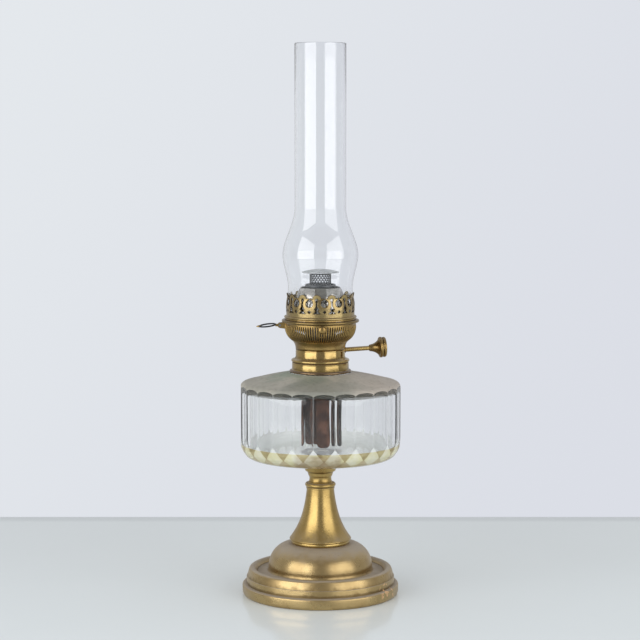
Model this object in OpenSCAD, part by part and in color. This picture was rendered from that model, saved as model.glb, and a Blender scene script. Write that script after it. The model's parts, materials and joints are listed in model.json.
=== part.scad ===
// Kerosene table lamp: a panelled glass font on a brass stem and foot, a round-wick
// burner with a pronged gallery, and a tall glass chimney.
// Millimetres, +Z up, origin at the centre of the foot on the table, front towards -Y.

/* [Foot] */
// Outer diameter of the rolled foot flange
base_d = 130; // [118:1:150]
// Height of the rolled foot flange
flange_h = 9; // [7:0.5:11]
// How far the upright band stands in from the flange
tier_in = 3.5; // [2.5:0.5:5]
// Height of the upright band
tier_h = 6; // [4:0.5:9]
// How far the crest of the lip stands in from the band
lip_in = 4.5; // [3.5:0.5:6]
// Rise from the band to the crest of the lip
lip_h = 7.5; // [6.5:0.5:10]
// Depth of the moat behind the lip
moat_depth = 3.4; // [1.6:0.2:4]
// Width from the crest of the lip to the foot of the dome
moat_w = 13.8; // [11.5:0.1:17]
// Rise of the dome above the moat
dome_h = 23.3; // [17:0.1:27]
// Brass wall of the foot
base_wall = 1.8; // [1.2:0.1:2.4]
// Thickness of the iron weight in the foot
weight_h = 10.2; // [9.4:0.2:11.4]
// Diameter of the tie rod
rod_d = 6; // [5:0.5:7]
// Height of the tie nut
nut_h = 5; // [4:0.5:5.5]
// Thickness of the tie washer
washer_t = 1.2; // [0.8:0.1:1.6]

/* [Stem] */
// Diameter of the band at the foot of the stem
stem_foot_d = 51.2; // [44:0.2:58]
// Height of the band at the foot of the stem
stem_foot_h = 5.5; // [4:0.5:8]
// Height of the bell-shaped length
bell_h = 40.4; // [30:0.2:60]
// Diameter at the top of the stem
stem_top_d = 22.6; // [20:0.2:26]
// Brass wall of the stem
stem_wall = 1.8; // [1.2:0.1:2.4]
// Diameter of the bead ring above the stem
bead_d = 25.4; // [23.5:0.2:29]
// Height of the bead ring above the stem
bead_h = 5.1; // [4.4:0.1:7]

/* [Font cup] */
// Height of the cup under the font
cup_h = 20.2; // [18.5:0.1:24]
// Diameter of the cup's mouth
cup_d = 35; // [31:0.5:42]
// Diameter of the cup's waist
waist_d = 18.2; // [15:0.2:20]
// Diameter of the glass peg set in the cup
peg_d = 16.6; // [13:0.2:18]
// Length of the glass peg
peg_h = 8; // [6:0.5:9]
// Cement round the peg
peg_cement_t = 0.6; // [0.3:0.1:1]

/* [Font] */
// Diameter across the ridges between the panels
font_d = 132.8; // [120:0.2:150]
// Number of flat panels
font_panels = 24; // [16:1:30]
// Height of the rounded lower edge
bevel_h = 17.5; // [14:0.5:22]
// Height of the upright panelled wall
wall_h = 41; // [30:1:70]
// Height of the rounded shoulder
shoulder_h = 5.5; // [4:0.5:8]
// Rise of the top from the shoulder to the collar
top_rise = 7.9; // [5:0.1:14]
// Glass wall
glass_t = 6; // [4:0.5:8]
// Height of the neck inside the collar
neck_h = 6.1; // [4:0.1:7]
// Glass wall of the neck
neck_t = 2.6; // [1.8:0.1:3.4]

/* [Collar] */
// Height of the collar
collar_h = 8.3; // [7.6:0.1:11]
// Sheet of the collar
collar_t = 0.6; // [0.4:0.1:0.9]
// Cement between neck and collar
neck_cement_t = 0.75; // [0.4:0.05:1.2]
// How far the collar's foot flange stands out
collar_flange_out = 2.05; // [1:0.05:3]
// Height of the collar's foot flange
collar_flange_h = 2.1; // [1.2:0.1:3]
// Length of the threaded sleeve below the collar's top
sleeve_h = 10.7; // [9:0.1:13]

/* [Wick and tubes] */
// Outer diameter of the wick tube
wick_tube_d = 24.2; // [22:0.2:27]
// Sheet of the wick tube
tube_t = 0.5; // [0.4:0.1:0.7]
// Height of the wick tube above the burner's seat
wick_tube_h = 64.2; // [62:0.2:66]
// Thickness of the wick
wick_t = 1.7; // [1.2:0.1:2.4]
// How far the wick's top lies below the tube's top at rest
wick_below = 3.4; // [2:0.2:6]
// Wall of the inner air tube
air_t = 0.8; // [0.5:0.1:1]
// Width of the air bridge
bridge_w = 7; // [5:0.5:8]
// Height of the air bridge
bridge_h = 14; // [10:1:16]

/* [Burner] */
// Gasket under the burner
gasket_t = 0.5; // [0.3:0.1:1]
// Height of the bright drum
drum_h = 10.2; // [9.4:0.1:12]
// How far the drum stands out from the collar's thread
drum_out = 2.9; // [2.3:0.1:4]
// Height of the plain neck of the basket
basket_neck_h = 1.6; // [1:0.1:3]
// Height of the basket's bowl
bowl_h = 21; // [20:0.5:24]
// Sheet of the basket
basket_t = 0.7; // [0.5:0.1:0.9]
// Height of the rolled rim
rim_h = 2.3; // [1.8:0.1:3]
// How far the rolled rim stands out from the bowl
rim_out = 2.5; // [2:0.1:3.5]
// Number of air slits round the bowl
slit_count = 90; // [40:2:100]
// Width of an air slit
slit_w = 0.75; // [0.5:0.05:1]
// Diameter of a guide stud's head
stud_d = 6.4; // [5:0.2:7]

/* [Gallery] */
// Thickness of the gallery floor
plate_t = 1; // [0.8:0.1:1.4]
// Sheet of the crown
crown_t = 0.6; // [0.4:0.1:0.8]
// Height of the crown
crown_h = 20.65; // [19.5:0.05:23]
// Number of prongs
prong_count = 14; // [10:1:16]
// Diameter of the round window in a prong
window_d = 6.2; // [4.6:0.2:6.6]
// Diameter of the deflector cone's mouth
cone_top_d = 33; // [31:0.5:36]
// Height of the deflector cone
cone_h = 25.4; // [24:0.2:26.4]
// Sheet of the deflector cone
cone_t = 0.6; // [0.4:0.1:0.8]

/* [Flame spreader] */
// Diameter of the spreader disc
disc_d = 30.4; // [28:0.2:31]
// Height of the perforated thimble
thimble_h = 9.7; // [7:0.1:13]
// Number of holes in a row round the thimble
thimble_holes = 22; // [20:2:32]

/* [Winder] */
// Diameter of the winder shaft
shaft_d = 3.7; // [3:0.1:4]
// Bearing of the winder, in degrees from +X towards +Y
winder_azimuth = 9; // [0:1:20]
// Upward slope of the winder, in degrees
winder_tilt = 2.9; // [0:0.1:3.5]
// Free length of the shaft between drum and knob
shaft_free = 20.6; // [14:0.2:30]
// Diameter of the knob
knob_d = 17.2; // [14:0.2:22]
// Length of the knob
knob_h = 13.8; // [11:0.2:17]
// Teeth of the pinion
pinion_teeth = 12; // [10:1:13]
// Gear module
gear_module = 0.75; // [0.7:0.01:0.8]

/* [Lift lever] */
// Outer diameter of the finger ring
ring_d = 17; // [14:0.5:24]
// Wire of the finger ring
ring_wire = 1.3; // [1:0.1:1.8]
// Thickness of the lever
lever_t = 2.4; // [1.8:0.1:3]
// Diameter of the lever pin
lever_pin_d = 1.8; // [1.4:0.1:2.2]

/* [Chimney] */
// Outer diameter of the chimney's seat
seat_d = 53.2; // [50:0.2:58]
// Outer diameter of the bulge
bulge_d = 62.2; // [58:0.2:68]
// Outer diameter of the flue
flue_d = 42.2; // [38:0.2:46]
// Glass wall of the chimney
chimney_t = 1.7; // [1.2:0.1:2.2]
// Height of the straight seat
seat_h = 24.4; // [22:0.2:28]
// Height from the seat to the widest place
belly_h = 28; // [22:0.5:36]
// Height from the widest place to the flue
shoulder_rise = 39.5; // [30:0.5:50]
// Length of the flue
flue_h = 132.5; // [90:0.5:170]

/* [Hidden] */
$fn = 64;

// Clearances
fit = 0.05;
thread_clear = 0.1;
run_clear = 0.05;
slide_gap = 0.15;
lift_gap = 0.3;
big = 200;

// Heights of the foot and stem
tier_z = flange_h + tier_h;
lip_z = tier_z + lip_h;
moat_z = lip_z - moat_depth;
dome_z = moat_z + dome_h;
bell_z = dome_z + stem_foot_h;
stem_z = bell_z + bell_h;
cup_z = stem_z + bead_h;

// Radii of the foot
base_r = base_d / 2;
tier_r = base_r - tier_in;
lip_r = tier_r - lip_in;
dome_r = lip_r - moat_w;
stem_foot_r = stem_foot_d / 2;
dome_top_r = stem_foot_r - 0.6;
dome_fillet = 4;
moat_edge = 4.5;
rod_hole_r = rod_d / 2 + 0.2;
washer_r = rod_d / 2 + 6;
recess_r = washer_r + 1.5;
recess_h = washer_t + nut_h + 1;
weight_top_z = moat_z - base_wall;
weight_z = weight_top_z - weight_h;
recess_z = weight_z + recess_h;

// Heights of the font
font_z = cup_z + cup_h;
wall_z = font_z + bevel_h;
shoulder_z = wall_z + wall_h;
top_z = shoulder_z + shoulder_h;
land_z = top_z + top_rise;
neck_z = land_z + neck_h;
collar_z = land_z + collar_h;
burner_z = collar_z + gasket_t;
floor_fillet_w = 6;
floor_fillet_h = 4.5;

// Socket of the cup and the end of the tie rod under it
socket_r = peg_d / 2 + peg_cement_t;
socket_z = font_z - peg_h - 0.5;
rod_top_z = socket_z - 2;

// Winder gears and rack, measured along and across the winder
pitch_r = pinion_teeth * gear_module / 2;
tooth_pitch = PI * gear_module;
addendum = 0.8 * gear_module;
dedendum = 1.4 * gear_module;
wick_tube_r = wick_tube_d / 2;
rack_near = wick_tube_r + 0.5;
rack_w = 2;
rack_far = rack_near + rack_w;
rack_root = pitch_r + gear_module;
rack_back = rack_root + 1.1;
pinion_near = wick_tube_r + 0.9;
pinion_w = 2.2;
rack_corner_r = norm([rack_far, rack_back]);

// Radii from the burner's thread out to the collar
ring_t = 1.1;
ring_in_r = rack_corner_r + 0.4;
ring_r = ring_in_r + ring_t;
thread_r = ring_r + thread_clear;
sleeve_t = 0.8;
sleeve_cement_t = 1.2;
sleeve_r = thread_r + sleeve_t;
neck_in_r = sleeve_r + sleeve_cement_t;
neck_r = neck_in_r + neck_t;
collar_in_r = neck_r + neck_cement_t;
collar_r = collar_in_r + collar_t;
collar_flange_r = collar_r + collar_flange_out;
land_r = collar_flange_r + 0.4;

// Burner radii and heights
drum_r = thread_r + drum_out;
drum_bead_r = max(collar_r, drum_r + 2.4) + 0.55;
drum_sleeve_r = drum_r - basket_t - fit;
drum_in_r = drum_sleeve_r - 0.65;
drum_floor_t = 1;
drum_z = burner_z + drum_h;
bowl_z = drum_z + basket_neck_h;
rim_z = bowl_z + bowl_h;
rim_top_z = rim_z + rim_h;
plate_z = rim_top_z + lift_gap;
crown_z = plate_z + plate_t;
crown_top_z = crown_z + crown_h;

// Radii from the chimney's seat out to the basket
seat_r = seat_d / 2;
crown_r = seat_r + 0.9 + crown_t;
crown_waist_r = seat_r + 0.2 + crown_t;
cone_r = seat_r - chimney_t - 0.9;
plate_in_r = cone_r - 1.6;
plate_r = crown_r + 1.1;
basket_r = crown_r + 1.4;
rim_r = basket_r + rim_out;
tab_r = basket_r - 3.7;
tab_t = 0.6;
tab_w = 7;
stud_z = rim_z - 4;
stud_shank_r = 1.2;
tab_reach = 5.6;
stud_azimuth = -87;
stud_count = 3;

// Wick, carrier and tubes
tube_in_r = wick_tube_r - tube_t;
carrier_r = tube_in_r - slide_gap;
carrier_in_r = carrier_r - 0.45;
wick_r = carrier_in_r - 0.1;
wick_in_r = wick_r - wick_t;
air_r = wick_in_r - 0.5;
air_in_r = air_r - air_t;
tube_top_z = burner_z + wick_tube_h;
tube_bottom_z = burner_z - 8.2;
tube_lip_h = 2.9;
tube_lip_r = wick_tube_r + 0.6;
air_top_z = tube_top_z - 0.8;
bridge_z = burner_z + 14.8;
air_bottom_z = bridge_z - 4;
bridge_wall = 0.6;
wick_top_z = tube_top_z - wick_below;
wick_drop = 4;
wick_rise = 9;
wick_widen = 0.4;
wick_flatten = 0.72;
wick_lean = 1.4;
wick_fold = 0.09;
floor_z = font_z + glass_t;
wick_bottom_z = floor_z + wick_drop + 0.4;
slot_angle = asin((bridge_w / 2 + 0.9) / wick_in_r);

// Winder place: the axis meets the lamp's axis at winder_z
winder_z = burner_z + 8.4;
pinion_mid = (rack_near + rack_far) / 2;
mesh_z = winder_z + pinion_mid * tan(winder_tilt);
rack_reach = 3.6;
rack_z = mesh_z - wick_rise - rack_reach;
rack_top_z = mesh_z + wick_drop + rack_reach;
carrier_z = mesh_z + 1.5;
carrier_h = 8;
arm_z = carrier_z + 1.5;
bush_r = shaft_d / 2 + 0.8;
bush_near = pinion_near + pinion_w + 0.5;
knob_near = drum_r + shaft_free;

// Lift lever place: bearing, pin and nose
lever_azimuth = 180;
pivot_x = rim_r + 1.4;
pivot_z = rim_z - 2.6;
hub_r = 2.3;
nose_x = basket_r - 4.4;
lever_h = 2.2;
lift_tab_r = basket_r - 2.3;
lift_tab_t = 0.8;
lift_tab_w = 5;
lift_tab_z = pivot_z + lever_h / 2 + lift_gap;
cheek_t = 1;
cheek_gap = 0.15;
cheek_drop = 5.6;
ring_droop = 4;
tongue = 1.4;
ring_x = pivot_x + hub_r + 0.2 + ring_d / 2;

// Chimney heights
belly_z = crown_z + seat_h;
bulge_z = belly_z + belly_h;
flue_z = bulge_z + shoulder_rise;
chimney_z = flue_z + flue_h;

// Points on an elliptic arc about c with half axes rx and rz
function arc(c, rx, rz, a0, a1, n = 8) =
    [for (i = [0:n]) let (a = a0 + (a1 - a0) * i / n) [c[0] + rx * cos(a), c[1] + rz * sin(a)]];

// Points on a quadratic curve from p to q, drawn towards m
function curve(p, m, q, n = 8) =
    [for (i = [0:n]) let (t = i / n) (1 - t) * (1 - t) * p + 2 * t * (1 - t) * m + t * t * q];

// Points of a half-cosine step from [r0, z0] to [r1, z1]
function ease(r0, z0, r1, z1, n = 12) =
    [for (i = [0:n]) let (t = i / n) [r0 + (r1 - r0) * (1 - cos(180 * t)) / 2, z0 + (z1 - z0) * t]];

// A list back to front
function back(list) = [for (i = [len(list) - 1:-1:0]) list[i]];

// A profile moved towards the axis by t
function inset(list, t) = [for (p = list) [p[0] - t, p[1]]];

module lathe(points) {
    rotate_extrude() polygon(points);
}

module ring(r_in, r_out, z0, z1) {
    lathe([[r_in, z0], [r_out, z0], [r_out, z1], [r_in, z1]]);
}

// Winder frame: local X runs out along the shaft
module at_winder() {
    translate([0, 0, winder_z]) rotate([0, 0, winder_azimuth]) rotate([0, -winder_tilt, 0]) children();
}

// Lever frame: local X runs out towards the finger ring
module at_lever() {
    rotate([0, 0, lever_azimuth]) children();
}

// A flat shape of [across, up] cut straight through the wall at one bearing
module radial_cut(bearing, near, far) {
    rotate([0, 0, bearing]) translate([near, 0, 0]) rotate([90, 0, 90])
        linear_extrude(far - near) children();
}

// Foot

module base_foot() {
    roll = flange_h / 2;
    roll_c = [base_r - roll, roll];
    lip_foot = [tier_r - 0.42 * lip_in, tier_z + 0.68 * lip_h];
    lip_back = [lip_r - moat_edge, moat_z];
    dome_foot = [dome_r, moat_z + dome_fillet];
    dome_c = [dome_top_r, dome_foot[1]];
    dome_rx = dome_r - dome_top_r;
    dome_rz = dome_z - dome_foot[1];
    band_in_r = tier_r - base_wall;
    outside = concat(
        [[base_r - 0.6 * roll, 0]],
        arc(roll_c, roll, roll, -62, 70, 14),
        [[tier_r, flange_h + 0.2], [tier_r, tier_z]],
        curve(lip_foot, [lip_foot[0] - 0.6, lip_z], [lip_r, lip_z], 6),
        curve([lip_r - 1, lip_z], [lip_r - 2.6, lip_z], lip_back, 6),
        curve([dome_r + 2.8, moat_z], [dome_r, moat_z], dome_foot, 5),
        arc(dome_c, dome_rx, dome_rz, 8, 90, 10),
        [[rod_hole_r, dome_z]]
    );
    inside = concat(
        [[rod_hole_r, dome_z - base_wall]],
        arc(dome_c, dome_rx - base_wall, dome_rz - base_wall, 90, 0, 8),
        [[dome_r - base_wall, weight_top_z], [lip_back[0], weight_top_z]],
        [[lip_r - 1.5, lip_z - base_wall - 0.4], [lip_r + 0.4, lip_z - base_wall - 0.2]],
        [[lip_foot[0] - base_wall, lip_foot[1] - 0.4], [band_in_r, tier_z], [band_in_r, 0]]
    );
    color("#a8813c") lathe(concat(outside, inside));
}

module base_weight() {
    edge_r = lip_r - moat_edge - 0.5;
    color("#3c3a38") lathe([
        [recess_r, weight_z], [edge_r, weight_z], [edge_r, weight_top_z],
        [rod_hole_r, weight_top_z], [rod_hole_r, recess_z], [recess_r, recess_z]
    ]);
}

module tie_rod() {
    rod_bottom_z = weight_z + 0.4;
    color("#8d8f92") translate([0, 0, rod_bottom_z]) cylinder(d = rod_d, h = rod_top_z - rod_bottom_z);
}

module tie_washer() {
    color("#9a9c9e") ring(rod_hole_r, washer_r, recess_z - washer_t, recess_z);
}

module tie_nut() {
    nut_w = rod_d + 4;
    nut_z = recess_z - washer_t - nut_h;
    color("#9a9c9e") translate([0, 0, nut_z]) difference() {
        cylinder(d = nut_w / cos(30), h = nut_h, $fn = 6);
        translate([0, 0, -1]) cylinder(r = rod_d / 2 + fit, h = nut_h + 2);
    }
}

// Stem

// Bell radius at share t of its height, falling away exponentially from the foot
function bell_r(t) =
    stem_top_d / 2 + (stem_foot_r - 0.2 - stem_top_d / 2) * (exp(-2 * t) - exp(-2)) / (1 - exp(-2));

module stem_column() {
    steps = 16;
    cap_t = 2.5;
    bell = [for (i = [0:steps]) [bell_r(i / steps), bell_z + bell_h * i / steps]];
    hollow = [for (i = [0:steps - 2]) [bell_r(i / steps) - stem_wall, bell_z + bell_h * i / steps]];
    band = concat(
        [[stem_foot_r - 0.5, dome_z]],
        arc([stem_foot_r - 0.8, dome_z + stem_foot_h / 2], 0.8, stem_foot_h / 2 - 0.4, -70, 70, 8)
    );
    color("#a8813c") lathe(concat(
        band, bell,
        [[rod_hole_r, stem_z], [rod_hole_r, stem_z - cap_t]],
        [[bell_r(1 - 2 / steps) - stem_wall, stem_z - cap_t]],
        back(hollow), [[stem_foot_r - 0.2 - stem_wall, dome_z]]
    ));
}

module stem_bead() {
    foot_h = 0.3 * bead_h;
    roll = (bead_h - foot_h) / 2;
    collet_r = stem_top_d / 2 + 0.5;
    bead_c = [bead_d / 2 - roll, stem_z + foot_h + roll];
    color("#b28a40") lathe(concat(
        [[rod_hole_r, stem_z], [collet_r, stem_z], [collet_r, stem_z + foot_h]],
        arc(bead_c, roll, roll, -80, 80, 12),
        [[bead_c[0], cup_z], [rod_hole_r, cup_z]]
    ));
}

// Font cup and font

module font_cup() {
    waist_r = waist_d / 2;
    step_r = socket_r + 3.5;
    step_z = cup_z + 0.48 * cup_h;
    color("#a8813c") lathe(concat(
        [[rod_hole_r, cup_z], [waist_r + 1.2, cup_z]],
        curve([waist_r + 0.5, cup_z + 0.7], [waist_r - 0.6, cup_z + 4], [waist_r + 0.5, cup_z + 5.4], 6),
        curve([waist_r + 1, cup_z + 6.6], [waist_r + 1.6, step_z - 0.6], [step_r - 1, step_z - 0.4], 4),
        curve([step_r, step_z], [step_r + 2, step_z + 4], [cup_d / 2, font_z], 8),
        [[socket_r, font_z], [socket_r, socket_z], [0, socket_z]],
        [[0, rod_top_z + 0.2], [rod_hole_r, rod_top_z + 0.2]]
    ));
}

module cup_cement() {
    color("#d9d2c0") lathe([
        [0, socket_z], [socket_r, socket_z], [socket_r, font_z - 0.2],
        [peg_d / 2, font_z - 0.2], [peg_d / 2, font_z - peg_h], [0, font_z - peg_h]
    ]);
}

// Outline of the glass outside, with the panels not yet cut
function font_outside() = let (r = font_d / 2 + 0.3) concat(
    [[0, font_z - peg_h], [peg_d / 2, font_z - peg_h], [peg_d / 2, font_z]],
    curve([r - 14, font_z], [r - 7.5, font_z + 0.5], [r - 4.5, font_z + 0.22 * bevel_h], 6),
    curve([r - 3.6, font_z + 0.3 * bevel_h], [r, font_z + 0.55 * bevel_h], [r, wall_z], 8),
    curve([r, shoulder_z], [r, top_z - 0.4], [r - 4.7, top_z], 8),
    [[land_r, land_z], [neck_r, land_z], [neck_r, neck_z], [0, neck_z]]
);

// Outline of the fuel space and the bore of the neck
function font_inside() = let (r = font_d / 2 - glass_t) concat(
    [[0, floor_z]],
    curve([r - floor_fillet_w, floor_z], [r, floor_z], [r, floor_z + floor_fillet_h], 5),
    curve([r, shoulder_z - 4], [r, shoulder_z + 0.5], [r - 6, shoulder_z + 1.4], 6),
    [[neck_in_r + 2, land_z - glass_t + 1], [neck_in_r, land_z - glass_t + 3]],
    [[neck_in_r, neck_z + 1], [0, neck_z + 1]]
);

module font_glass() {
    panel_bearing = -87.4;
    pitch = 360 / font_panels;
    facet_tilt = 11.5;
    facet_z = wall_z - 0.4;
    facet_w = font_d * sin(pitch / 2) * 1.3;
    ridges = [for (k = [0:font_panels - 1]) panel_bearing + pitch * (k + 0.5)];
    color([0.86, 0.9, 0.88, 0.45]) difference() {
        intersection() {
            lathe(font_outside());
            translate([0, 0, font_z - peg_h - 1]) linear_extrude(neck_z - font_z + peg_h + 2)
                polygon([for (a = ridges) font_d / 2 * [cos(a), sin(a)]]);
        }
        for (a = ridges) rotate([0, 0, a]) translate([font_d / 2, 0, facet_z]) rotate([0, facet_tilt, 0])
            translate([0, -facet_w / 2, -bevel_h]) cube([bevel_h, facet_w, bevel_h]);
        lathe(font_inside());
    }
}

module collar_cement() {
    cap_z = collar_z - collar_t;
    color("#cfc8b4") lathe([
        [sleeve_r, land_z], [neck_in_r, land_z], [neck_in_r, neck_z], [neck_r, neck_z],
        [neck_r, land_z], [collar_in_r, land_z], [collar_in_r, cap_z], [sleeve_r, cap_z]
    ]);
}

module font_collar() {
    flange_z = land_z + collar_flange_h;
    soft = 0.5 * collar_flange_h;
    color("#b58b32") lathe(concat(
        [[collar_in_r, land_z]],
        arc([collar_flange_r - soft, land_z + soft], soft, soft, -90, 80, 8),
        [[collar_r, flange_z + 0.4], [collar_r, collar_z - 0.4], [collar_r - 0.4, collar_z]],
        [[thread_r, collar_z], [thread_r, collar_z - sleeve_h], [sleeve_r, collar_z - sleeve_h]],
        [[sleeve_r, collar_z - collar_t], [collar_in_r, collar_z - collar_t]]
    ));
}

// Burner

module burner_gasket() {
    color("#4b3a2a") ring(thread_r, collar_r - 0.6, collar_z, burner_z);
}

module winder_hole(r) {
    at_winder() translate([ring_in_r, 0, 0]) rotate([0, 90, 0]) cylinder(r = r, h = big / 4);
}

module burner_drum() {
    roll = 1.2;
    ring_h = sleeve_h - 1;
    bead_c = [drum_bead_r - roll, burner_z + roll];
    tube_hole_r = wick_tube_r + fit;
    floor_top_z = burner_z + drum_floor_t;
    color("#b58b32") difference() {
        lathe(concat(
            [[tube_hole_r, burner_z], [ring_in_r, burner_z], [ring_in_r, burner_z - ring_h]],
            [[ring_r, burner_z - ring_h], [ring_r, burner_z]],
            arc(bead_c, roll, roll, -90, 80, 10),
            curve([drum_r + 1.9, burner_z + 2.8], [drum_r, burner_z + 3.6], [drum_r, burner_z + 5.4], 5),
            [[drum_r, drum_z], [drum_sleeve_r, drum_z], [drum_sleeve_r, bowl_z]],
            [[drum_in_r, bowl_z], [drum_in_r, floor_top_z], [tube_hole_r, floor_top_z]]
        ));
        rotate([0, 0, winder_azimuth]) translate([wick_tube_r - 1, pitch_r - addendum - 0.5, burner_z - 1])
            cube([rack_far - wick_tube_r + 1.5, rack_back - pitch_r + addendum + 1, 3]);
        winder_hole(bush_r + fit);
    }
}

// Outside of the basket from the drum's seam to the rolled rim
function bowl_outside() = let (
    lower = [drum_r + 0.35 * (basket_r - drum_r), bowl_z + 0.29 * bowl_h],
    centre = [drum_r + 0.1, rim_z - 0.12 * bowl_h],
    rz = 0.61 * bowl_h
) concat(
    [[drum_r, drum_z]],
    curve([drum_r, bowl_z - 0.4], [drum_r + 0.5, bowl_z + 0.2 * bowl_h], lower, 4),
    arc(centre, basket_r - drum_r - 0.2, rz, -58, 0, 6),
    [[basket_r, rim_z]]
);

module burner_basket() {
    outside = bowl_outside();
    rim_roll = rim_h / 2;
    slit_z = bowl_z + 0.27 * bowl_h;
    slit_h = 0.64 * bowl_h;
    color("#8f713a") difference() {
        lathe(concat(
            outside,
            arc([rim_r - rim_roll, rim_z + rim_roll], rim_roll, rim_roll, -90, 90, 8),
            [[basket_r - basket_t, rim_top_z]],
            back(inset(outside, basket_t))
        ));
        for (k = [0:slit_count - 1]) rotate([0, 0, 360 * (k + 0.5) / slit_count])
            translate([drum_r - 1, -slit_w / 2, slit_z]) cube([basket_r - drum_r + 2, slit_w, slit_h]);
        winder_hole(bush_r + fit);
        for (k = [0:stud_count - 1]) rotate([0, 0, stud_azimuth + 360 * k / stud_count])
            translate([basket_r - 5, 0, stud_z]) rotate([0, 90, 0]) cylinder(r = stud_shank_r, h = 10);
        at_lever() translate([nose_x - 1, -lever_t / 2 - 0.4, rim_z - 8])
            cube([rim_r - nose_x + 1.6, lever_t + 0.8, 8 + rim_h - 0.5]);
    }
}

module guide_studs() {
    head_h = 1.8;
    head_x = basket_r + fit;
    shank_x = tab_r - tab_t - 0.6;
    color("#9c7a3c") for (k = [0:stud_count - 1]) rotate([0, 0, stud_azimuth + 360 * k / stud_count])
        translate([0, 0, stud_z]) rotate([0, 90, 0]) lathe(concat(
            [[0, shank_x], [stud_shank_r, shank_x], [stud_shank_r, head_x], [stud_d / 2, head_x]],
            arc([0, head_x + 0.5], stud_d / 2, head_h, 0, 90, 8)
        ));
}

module wick_tube() {
    lip_z0 = tube_top_z - tube_lip_h;
    color("#4c4a46") difference() {
        lathe([
            [tube_in_r, tube_bottom_z], [wick_tube_r, tube_bottom_z], [wick_tube_r, lip_z0 - 0.5],
            [tube_lip_r, lip_z0], [tube_lip_r, tube_top_z - 0.4], [tube_lip_r - 0.4, tube_top_z],
            [tube_in_r, tube_top_z]
        ]);
        rotate([0, 0, winder_azimuth]) translate([0, pitch_r - addendum - 0.5, tube_bottom_z - 1])
            cube([wick_tube_r + 1, rack_back - pitch_r + addendum + 1,
                  carrier_z + carrier_h + wick_rise + 2 - tube_bottom_z]);
        bridge_block(wick_tube_r - tube_t - 1, wick_tube_r + 1, 0);
    }
}

// Block of the air bridge, opposite the winder
module bridge_block(near, far, thin) {
    rotate([0, 0, winder_azimuth + 180]) translate([near, -bridge_w / 2 + thin, bridge_z + thin])
        cube([far - near, bridge_w - 2 * thin, bridge_h - 2 * thin]);
}

module air_tube() {
    color("#6d6a63") difference() {
        lathe([
            [0, air_bottom_z], [air_r, air_bottom_z], [air_r, air_top_z],
            [air_in_r, air_top_z], [air_in_r, air_bottom_z + air_t], [0, air_bottom_z + air_t]
        ]);
        bridge_block(0, air_r + 1, bridge_wall);
    }
}

module air_bridge() {
    color("#7a6a45") difference() {
        intersection() {
            bridge_block(0, wick_tube_r + 2, 0);
            ring(air_r, wick_tube_r, bridge_z - 1, bridge_z + bridge_h + 1);
        }
        bridge_block(0, wick_tube_r + 2, bridge_wall);
    }
}

module shaft_bush() {
    color("#94712f") at_winder() rotate([0, 90, 0]) difference() {
        translate([0, 0, bush_near]) cylinder(r = bush_r, h = drum_r + 0.6 - bush_near);
        translate([0, 0, bush_near - 1]) cylinder(r = shaft_d / 2 + run_clear, h = drum_r - bush_near + 3);
    }
}

// Winder

module winder_shaft() {
    color("#b08c45") at_winder() rotate([0, 90, 0]) translate([0, 0, pinion_near])
        cylinder(d = shaft_d, h = knob_near + 0.7 * knob_h - pinion_near);
}

// Pinion outline: straight-flanked teeth, thinner than half the pitch for backlash
function pinion_points() =
    let (root = pitch_r - dedendum, tip = pitch_r + addendum, half_root = 0.8 * gear_module,
         half_tip = 0.3 * gear_module,
         tooth = [[root, -half_root], [tip, -half_tip], [tip, half_tip], [root, half_root]])
    [for (k = [0:pinion_teeth - 1], p = tooth) let (a = 360 * k / pinion_teeth)
        [p[0] * cos(a) - p[1] * sin(a), p[0] * sin(a) + p[1] * cos(a)]];

module winder_pinion() {
    color("#8a6c30") at_winder() translate([pinion_near, 0, 0]) rotate([90, 0, 90]) difference() {
        linear_extrude(pinion_w) polygon(pinion_points());
        translate([0, 0, -1]) cylinder(d = shaft_d, h = pinion_w + 2);
    }
}

module winder_knob() {
    r = knob_d / 2;
    neck_r0 = shaft_d / 2 + 0.75;
    flare = 0.6 * knob_h;
    rim_w = (knob_h - flare) / 2;
    bore = 0.7 * knob_h;
    color("#8f713a") at_winder() translate([knob_near, 0, 0]) rotate([0, 90, 0]) lathe(concat(
        [[shaft_d / 2, 0], [neck_r0, 0]],
        curve([neck_r0 + 0.2, 0.8], [neck_r0 + 0.9, 0.75 * flare], [r - 1.2, flare], 8),
        arc([r - 0.35 * rim_w, flare + 0.5 * rim_w], 0.35 * rim_w, 0.5 * rim_w, -80, 80, 6),
        [[r - 0.7, flare + rim_w]],
        arc([r - 0.35 * rim_w - 0.2, flare + 1.5 * rim_w], 0.35 * rim_w, 0.5 * rim_w, -80, 80, 6),
        [[0.55 * r, knob_h - 0.7], [0, knob_h - 0.4], [0, bore], [shaft_d / 2, bore]]
    ));
}

// Wick, one tape bent into an open tube that hangs in the font

// Share of flattening: none in the burner, full in the lower font
function wick_slack(z) =
    let (t = min(1, max(0, (tube_bottom_z - wick_rise - 2 - z) / 30))) t * t * (3 - 2 * t);

// Half angle of the gap between the tape's edges, wide where the air bridge passes
function wick_gap(z) =
    let (t = min(1, max(0, (z - bridge_z - bridge_h - wick_drop - 1.5) / 4)))
    slot_angle + (2 - slot_angle) * t;

// A point of the tape: u from -1 to 1 across it, z up it, side -1 inside or 1 outside
function wick_point(u, z, side) =
    let (s = wick_slack(z), a = winder_azimuth + u * (180 - wick_gap(z)),
         fold = 1 + s * wick_fold * sin(4 * a + 6 * z), m = (wick_r + wick_in_r) / 2 * fold)
    [m * (1 + wick_widen * s) * cos(a) + side * wick_t / 2 * cos(a) - wick_lean * s,
     m * (1 - wick_flatten * s) * sin(a) + side * wick_t / 2 * sin(a), z];

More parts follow.
